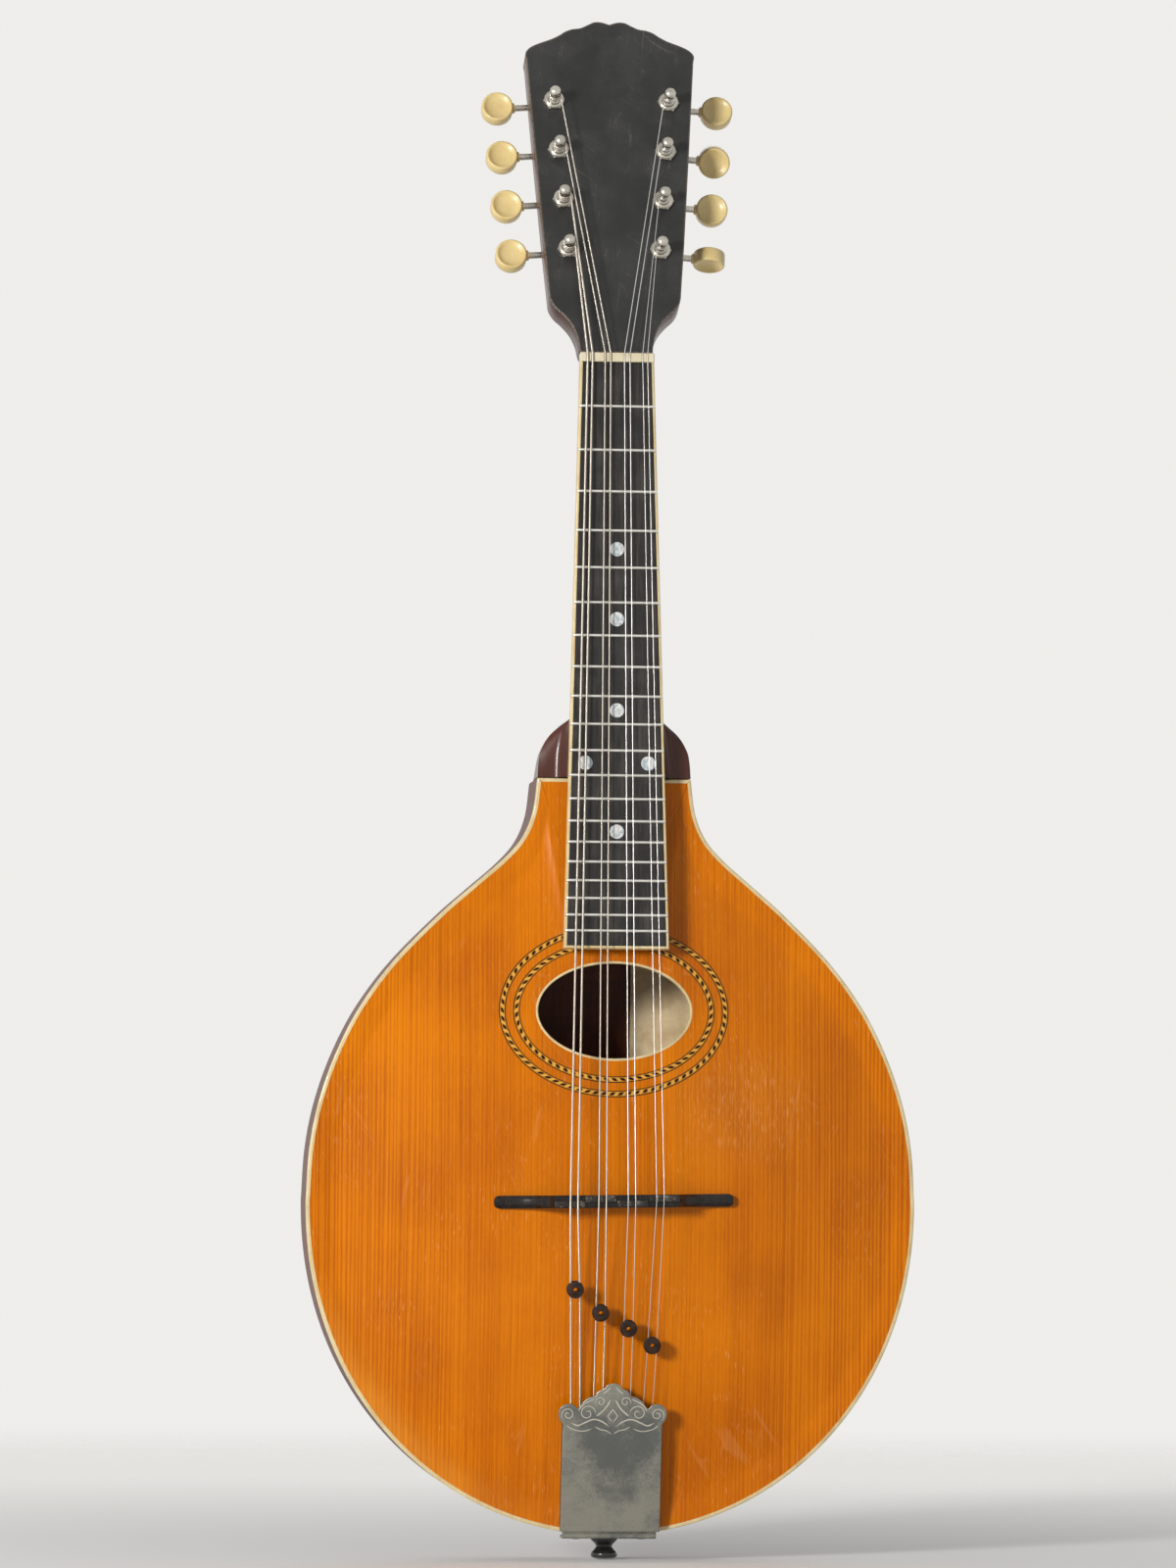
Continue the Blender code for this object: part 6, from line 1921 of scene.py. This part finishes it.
@dataclass(frozen=True)
class Tailpiece:
    """Sliding cover with an engraved crest, its base with screws, and the end pin."""

    half: float = 20.7
    thick: float = 0.9
    flange: float = 0.8
    crest: tuple = ((20.7, 0.0), (20.7, 41.7), (20.4, 44.8), (22.0, 47.2), (22.6, 50.0),
                    (21.6, 52.6), (19.1, 54.0), (16.3, 53.6), (14.5, 52.2), (12.3, 55.0),
                    (9.8, 56.8), (7.3, 57.5), (6.9, 58.6), (5.6, 59.8), (3.6, 60.6),
                    (2.6, 62.0), (0.0, 62.9))
    line_wide: float = 0.40
    curls: tuple = ((1.0, (18.6, 49.6), 3.0, 0.5, -60, 560), (1.0, (10.6, 50.2), 3.6, 0.6, 200, -520),
                    (0.9, (5.2, 55.0), 2.3, 0.4, -40, 480))
    leaves: tuple = ((1.5, (17.4, 46.2), (14.6, 45.0), (11.6, 46.2), (8.0, 47.6), (4.6, 46.8),
                      (1.4, 44.6)),
                     (1.2, (14.4, 51.0), (12.6, 53.6), (9.6, 55.4), (7.6, 56.2)),
                     (1.6, (6.8, 49.0), (4.8, 50.6), (2.8, 52.8), (1.0, 56.0)),
                     (1.0, (7.4, 44.6), (5.2, 43.4), (2.6, 42.8), (0.4, 41.4)),
                     (1.0, (19.4, 45.2), (16.6, 43.4), (12.4, 42.6), (8.6, 43.6)),
                     (1.0, (4.2, 58.4), (2.6, 59.6), (1.2, 61.2)))
    lozenge: tuple = ((0.0, 46.2), (2.1, 49.0), (0.0, 51.8), (-2.1, 49.0), (0.0, 46.2))
    screws: tuple = ((-13.0, -8.0, 30.0), (14.5, -8.0, 70.0), (0.0, -29.0, 10.0))
    screw_r: float = 2.4
    apron: float = 1.3
    screw_dome: tuple = ((1.0, -0.2), (1.0, 0.0), (0.9, 0.3), (0.7, 0.55), (0.45, 0.7),
                         (0.2, 0.78), (0.05, 0.8))
    pin_level: float = -21.7
    pin_out: float = 1.6
    pin_knob: tuple = ((5.4, 0.0), (5.6, -0.5), (5.5, -1.3), (4.4, -2.4), (3.5, -3.4), (3.5, -4.3),
                       (4.3, -5.4), (5.3, -6.4), (5.6, -7.3), (5.4, -8.2), (4.6, -8.8), (3.2, -9.0),
                       (0.4, -9.0))
    body: Body = Body()

    def crest_line(self) -> np.ndarray:
        """Outline of the cover, straight up the sides and eased round the crest."""
        crest = np.array(self.crest)
        return mirrored(np.concatenate([np.linspace(crest[0], crest[1], 16)[:-1],
                                        smooth_line(crest[1:], 7)]))

    def cover(self) -> Shape:
        """The cover: crested plate, two side flanges down to the top, and a tail flange.

        Returns:
            The surface.
        """
        shapes = [slab(self.crest_line(), 0.0, self.thick, 0.32, 4, under=0.1)]
        _, low, level = LAYOUT.cover_low
        v = np.linspace(0.0, 45.0, 30)
        z = v * math.cos(LAYOUT.cover_slope) + low
        for hand in (-1, 1):
            reach = self.body.front(hand * self.half, z) + 0.9
            rise = (z - low) * math.tan(LAYOUT.cover_slope)
            foot = (reach - level - rise) * math.cos(LAYOUT.cover_slope)
            a, b = self.half - self.flange, self.half
            shapes.append(skin(np.stack([stacked(hand * x, v, n) for x, n in
                                         ((a, foot), (a, 0.3), (b, 0.5), (b, foot))], 1)))
        shapes.append(bar((-self.half, 0.0, 1.6 - level), (self.half, self.flange, 0.5), 0.15))
        return joined(*shapes)

    def ribbon(self, path: np.ndarray, wide: float) -> Shape:
        """An engraved stroke: a shallow strip along a flat path, tapering to its ends.

        Args:
            path: flat points in the cover's plane.
            wide: width of the stroke at its middle.

        Returns:
            The strip.
        """
        side = unit(np.gradient(path, axis=0))[:, ::-1] * (-1, 1)
        taper = np.clip(np.sin(np.linspace(0, math.pi, len(path))) * 3, 0.15, 1)[:, None]
        reach = side * taper * wide / 2
        high, low = self.thick + 0.025, self.thick - 0.2
        return skin(np.stack([raised(path + hand * reach, level) for hand, level in
                              ((-1, high), (1, high), (1, low), (-1, low))], 1))

    def spiral(self, centre: tuple, start_r: float, end_r: float, start: float,
               sweep: float) -> np.ndarray:
        """Points of a spiral whose radius changes evenly with its angle."""
        share = np.linspace(0, 1, 48)
        return polar(start_r + (end_r - start_r) * share, np.radians(start + sweep * share)) + centre

    def ornament(self) -> Shape:
        """Generic scrollwork: paired spirals in the ears and crest, leaves and a small lozenge.

        Returns:
            The surface.
        """
        strokes = []
        for hand in (-1, 1):
            lines = [(self.spiral(*curl), share) for share, *curl in self.curls]
            lines += [(smooth_line(np.array(leaf), 8), share) for share, *leaf in self.leaves]
            strokes += [self.ribbon(line * (hand, 1), self.line_wide * share) for line, share in lines]
        lozenge = evenly(np.array(self.lozenge), 49)
        return joined(*strokes, self.ribbon(lozenge, self.line_wide))

    def pin(self) -> Shape:
        """The end pin: a turned knob with a neck, its shank in the tail block."""
        knob = smooth_line(np.array(self.pin_knob) - (0.0, self.pin_out), 5)
        return turned([(0.4, 12.0), (2.56, 12.0), (3.2, -self.pin_out), (3.4, -self.pin_out),
                       *knob], 48)

    def apron_screws(self) -> Shape:
        """Three slotted screws through the plate's apron at the tail edge.

        Returns:
            The surface.
        """
        shapes = []
        for x, n, turn in self.screws:
            rings = screw_head(self.screw_r, turn, 40, self.screw_dome, (0.35, 0.4, 0.2))
            shapes.append(skin(rings[..., [0, 2, 1]] * (1, -1, 1) + (x, LAYOUT.tail - self.apron, n)))
        return joined(*shapes)

    def build(self) -> list[bpy.types.Object]:
        """Make the cover, its engraving, the screws through the base's apron and the end pin; the base
        itself is a node that the frame already holds.

        Returns:
            The pieces.
        """
        made = [make_piece("crested_cover", self.cover(), COVER, TAIL_NICKEL, "cover",
                           ("tailpiece_cover",)),
                make_piece("crest_engraving", self.ornament(), COVER, ENGRAVED, "cover"),
                make_piece("apron_screws", self.apron_screws(), BODY, NICKEL)]
        place = BODY.child((0.0, LAYOUT.tail, self.pin_level), "x", -math.pi / 2)
        return made + [make_piece("turned_end_pin", self.pin(), place, BLACK_PIN,
                                  stands_for=("end_pin",))]


# Strings


@dataclass(frozen=True)
class Strings:
    """Eight strings along their whole route, and the soft rings behind the bridge."""

    hook_z: float = 27.0
    hook_stagger: float = 2.7
    hook_r: float = 0.95
    hook_level: float = 8.35
    twist_r: float = 0.16
    twist_up: float = 3.4
    twist_long: float = 9.0
    twist_turns: int = 9
    rest: float = 0.12
    part: float = 0.44
    waist: float = 1.8
    waist_level: float = 6.0
    wraps: int = 2
    spread: float = 1.9
    ring_r: float = 3.6
    ring_thick: float = 3.4
    ring_hole: float = 0.9

    def saddle_point(self, course: Course, j: int) -> np.ndarray:
        """Middle of a string at the saddle's tail-side edge, in the body frame.

        Args:
            course: the course.
            j: which of its two strings.

        Returns:
            The point.
        """
        x = course.hand * course.saddles[j]
        up = LAYOUT.bridge_z + x * math.tan(LAYOUT.bridge_slant) + course.shift
        up -= LAYOUT.saddle_thick / 2
        return np.array([x, up, LAYOUT.saddle_top + self.rest + course.radius])

    def level(self, course: Course, j: int, z: np.ndarray | float) -> np.ndarray | float:
        """Height of a string behind the bridge: a straight rise from the hook to the saddle."""
        end = self.saddle_point(course, j)
        return self.hook_level + (end[2] - self.hook_level) * (z - self.hook_z) / (end[1] - self.hook_z)

    def ring_place(self, course: Course) -> np.ndarray:
        """Middle of the soft ring between the two strings of a course.

        Args:
            course: the course.

        Returns:
            The point in the body frame.
        """
        z = self.hook_z + course.grommet * (LAYOUT.bridge_z - self.hook_z)
        tail, saddle = sum(course.tails) / 2, sum(course.saddles) / 2
        level = (self.level(course, 0, z) + self.level(course, 1, z)) / 2
        return np.array([course.hand * (tail + (saddle - tail) * course.grommet), z, level])

    def hook(self, course: Course, j: int) -> tuple[float, float, float]:
        """Where a string starts, and where it passes its soft ring."""
        inner = 1 if course.tails[j] < sum(course.tails) / 2 else -1
        return (course.hand * course.tails[j], self.hook_z + self.hook_stagger * inner,
                self.ring_place(course)[0] - course.hand * inner * self.spread)

    def route(self, course: Course, j: int) -> np.ndarray:
        """Middle of one string: loop on its hook, past the ring, over saddle and nut, round its post.

        Args:
            course: the course.
            j: which of its two strings.

        Returns:
            The points in the body frame.
        """
        x0, z0, past = self.hook(course, j)
        r = self.hook_r / math.cos(math.pi / 6) + course.radius + self.rest
        gap = course.radius + self.part / 2
        flat = np.array([(x0 + gap, z0 + r * 2.0), *(arc(28, -208, 40) * r + (x0, z0)),
                         (x0 - gap, z0 + r * 2.2), (past, self.ring_place(course)[1])])
        behind = raised(flat, self.level(course, j, flat[:, 1]))
        rest = self.saddle_point(course, j)
        nut_n = LAYOUT.nut_top + self.rest + course.radius
        nut = BODY.local(BOARD.place([(course.hand * course.nuts[j], u, nut_n) for u in (-0.3, 2.6)]))
        return np.concatenate([behind, [rest, rest + (0, LAYOUT.saddle_thick, 0)], nut,
                               self.winding(course, j, nut[-1])])

    def winding(self, course: Course, j: int, nut: np.ndarray) -> np.ndarray:
        """Turns round the post: a helix from where the string meets it, then in through its hole.

        Args:
            course: the course.
            j: which of its two strings.
            nut: the string's last point on the nut.

        Returns:
            The points in the body frame.
        """
        place = TUNERS[course.posts[j]]
        r = self.waist + course.radius + 0.03
        start = place.local(BODY.place(nut))
        swing = math.acos(r / math.hypot(start[0], start[1]))
        t = np.linspace(0, 1, 1 + 40 * self.wraps)
        a = math.atan2(start[1], start[0]) - course.hand * (swing + TURN * self.wraps * t)
        pitch = 2 * course.radius + self.part
        helix = raised(polar(r, a), self.waist_level + self.wraps * pitch * (0.5 - t))
        last = helix[-1] - np.array([-math.sin(a[-1]), math.cos(a[-1]), 0.0]) * course.hand * 0.9
        tuck = [last * (share, share, 1) for share in (0.85, 0.4)]
        return BODY.local(place.place(np.concatenate([helix, tuck])))

    def twist(self, course: Course, j: int) -> Shape:
        """The twisted neck of the loop: a close helix round the string next to its hook.

        Args:
            course: the course.
            j: which of its two strings.

        Returns:
            The twisted wire.
        """
        x0, z0, past = self.hook(course, j)
        t = np.linspace(0, 1, 160)
        z = z0 + self.twist_up + self.twist_long * t
        share = (z - z0) / (self.ring_place(course)[1] - z0)
        x = x0 + (past - x0) * share - (1 - t) * (course.radius + 0.2)
        turn = polar(course.radius + self.twist_r, TURN * self.twist_turns * t)
        path = stacked(x + turn[:, 0], z, self.level(course, j, z) + turn[:, 1])
        return along(path, self.twist_r, 6)

    def build(self) -> list[bpy.types.Object]:
        """Make the strings and their rings.

        Returns:
            The pieces.
        """
        made = []
        for course in COURSES:
            for j in range(2):
                wire = along(self.route(course, j), course.radius, 12)
                name = f"{course.name}{j + 1}"
                made.append(make_piece(f"wire_{name}", joined(wire, self.twist(course, j)), BODY,
                                       WOUND if course.wound else STEEL,
                                       stands_for=(f"string_{name}",), smooth=80))
            made.append(self.ring(course))
        return made

    def ring(self, course: Course) -> bpy.types.Object:
        """A grooved soft ring, leaning with the strings that pass it.

        Args:
            course: the course that it parts.

        Returns:
            The ring.
        """
        end = self.saddle_point(course, 0)
        rise = math.atan((end[2] - self.hook_level) / (LAYOUT.bridge_z - self.hook_z))
        half, lip, hole, r = self.ring_thick / 2, course.radius + 0.2, self.ring_hole, self.ring_r
        groove = self.spread - course.radius - 0.1
        side = [(hole, half - 0.25), (hole + 0.25, half), (r - 0.7, half), (r - 0.2, half - 0.15),
                (r, half - 0.6), (r - 0.05, lip + 0.15), (r - 0.3, lip), (groove + 0.2, lip),
                (groove, lip - 0.15)]
        profile = side + [(radius, -n) for radius, n in reversed(side)]
        place = BODY.child(tuple(self.ring_place(course)), "x", rise)
        return make_piece(f"soft_ring_{course.name}", turned(profile, 48, ring=True), place, RUBBER,
                          stands_for=(f"grommet_{course.name}",))


# Studio


@dataclass(frozen=True)
class Studio:
    """Camera at the photograph's angle, soft lamps, pale world and floor."""

    focal: float = 6992.56
    distance: float = 2854.45
    yaw: float = math.radians(5.0645)
    pitch: float = math.radians(-3.239)
    roll: float = math.radians(0.4368)
    shift: tuple[float, float] = (8.69, -308.491)
    image: tuple[int, int] = (1200, 1600)
    sensor: float = 36.0
    backdrop: Colour = (0.86, 0.85, 0.83)
    even_light: float = 0.24
    floor_reach: float = 1.6
    aim: tuple = (0.0, 0.0, -0.22)
    lamps: tuple = (("key", (-1.4, -1.78, 0.1), 0.4, 47.0, (1.0, 0.985, 0.96)),
                    ("fill", (1.2, -2.2, 0.3), 1.6, 1.5, (0.97, 0.985, 1.0)),
                    ("back", (0.3, 1.7, 1.0), 1.3, 6.0, (1.0, 1.0, 1.0)))

    def camera(self) -> None:
        """A pinhole camera: its axes are the rows of the turn from instrument to picture."""
        turn = (turn_about("y", self.roll) @ turn_about("x", self.pitch)
                @ turn_about("z", self.yaw))[:3, :3]
        eye = -turn.T @ (self.shift[0], self.distance, self.shift[1])
        data = bpy.data.cameras.new("camera")
        data.sensor_width, data.clip_start, data.clip_end = self.sensor, 0.1, 30.0
        data.lens = self.focal / max(self.image) * self.sensor
        bpy.context.scene.camera = link("camera", data, [turn[0], turn[2], -turn[1]],
                                        (eye - LAYOUT.hanger) * 0.001)

    def lamp(self, name: str, place: tuple, size: float, power: float, tint: Colour) -> None:
        """A soft square lamp that points at the body.

        Args:
            name: its name.
            place: where it stands, in metres.
            size: side of the square.
            power: its power in watts.
            tint: its colour.
        """
        data = bpy.data.lights.new(name, "AREA")
        data.size, data.energy, data.color = size, power, tint
        away = unit(np.array(place) - self.aim)
        right = unit(np.cross((0, 0, 1), away))
        link(name, data, [right, np.cross(away, right), away], place)

    def world(self) -> None:
        """Pale to the camera, in reflections and through glass; a quieter even light otherwise."""
        bench = Bench("studio", "worlds")
        bench.tree.nodes.clear()
        camera, glossy, through = (bench.add("ShaderNodeLightPath", None, None, f"Is {kind} Ray")
                                   for kind in ("Camera", "Glossy", "Transmission"))
        lit, seen = (bench.add("ShaderNodeBackground", None, {"Color": colour, "Strength": strength})
                     for colour, strength in (((1.0, 1.0, 1.0), self.even_light), (self.backdrop, 1.0)))
        share = camera.calc("MAXIMUM", glossy).calc("MAXIMUM", through)
        shown = bench.add("ShaderNodeMixShader", None, {0: share, 1: lit, 2: seen})
        bench.add("ShaderNodeOutputWorld", None, {"Surface": shown}, None)
        bpy.context.scene.world = bench.owner

    def floor(self) -> None:
        """A round pale floor just under the end pin that fades out into the backdrop."""
        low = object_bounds()[0].z * 1000.0 - 0.5
        radii = [20.0, 400.0, 800.0, 1200.0, self.floor_reach * 1000.0]
        disc = turned([(r, low) for r in radii] + [(r, low - 2.0) for r in radii[::-1]], 96)
        bench = Bench("pale_floor")
        position = bench.add("ShaderNodeTexCoord", None, None, "Object")
        x, y = (bench.add("ShaderNodeSeparateXYZ", None, {0: position}, k) for k in range(2))
        away = (x * x + y * y) ** 0.5
        glow = bench.mix(away.rise(0.1, 0.8), (0.12, 0.12, 0.12), (0.33, 0.325, 0.315))
        fade = away.rise(self.floor_reach * 0.35, self.floor_reach * 0.97)
        mesh = mesh_of("floor", joined(disc), WORLD)
        mesh.materials.append(bench.dress(base_color=(0.74, 0.735, 0.72), roughness=0.9,
                                          emission_strength=1.0, emission_color=glow,
                                          alpha=1 - fade))
        link("floor", mesh)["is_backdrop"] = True

    def build(self) -> None:
        """Set the scene up round the object."""
        bpy.context.scene.view_settings.view_transform = "Standard"
        self.camera()
        self.world()
        for lamp in self.lamps:
            self.lamp(*lamp)
        self.floor()


def dress_frame_nodes() -> None:
    """Give the frame's own nodes that stay in view their finishes."""
    plan = {INNER: ("top_lining", "back_lining", "neck_block", "tail_block", "top_brace"),
            TAIL_NICKEL: ("tailpiece_base",)}
    for finish, names in plan.items():
        for name in names:
            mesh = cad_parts[name].data
            mesh.materials.clear()
            mesh.materials.append(finish.material())
            log.info("%s dressed in %s", name, finish.name)


def main() -> None:
    """Build the instrument in order and report each piece."""
    logging.basicConfig(level=logging.INFO, format="%(name)s: %(message)s")
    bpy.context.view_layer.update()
    turns = {Side.TREBLE: (0.0, 38.0, 12.0, 88.0), Side.BASS: (0.0, 0.0, 4.0, 0.0)}
    parts = [Body(), Neck(), *(TuningRow(side, button_turns=turns[side]) for side in Side),
             Bridge(), Tailpiece(), Strings()]
    for part in parts:
        for piece in part.build():
            log.info("%s: %d faces", piece.name, len(piece.data.polygons))
    dress_frame_nodes()
    Studio().build()


if __name__ == "__main__":
    main()
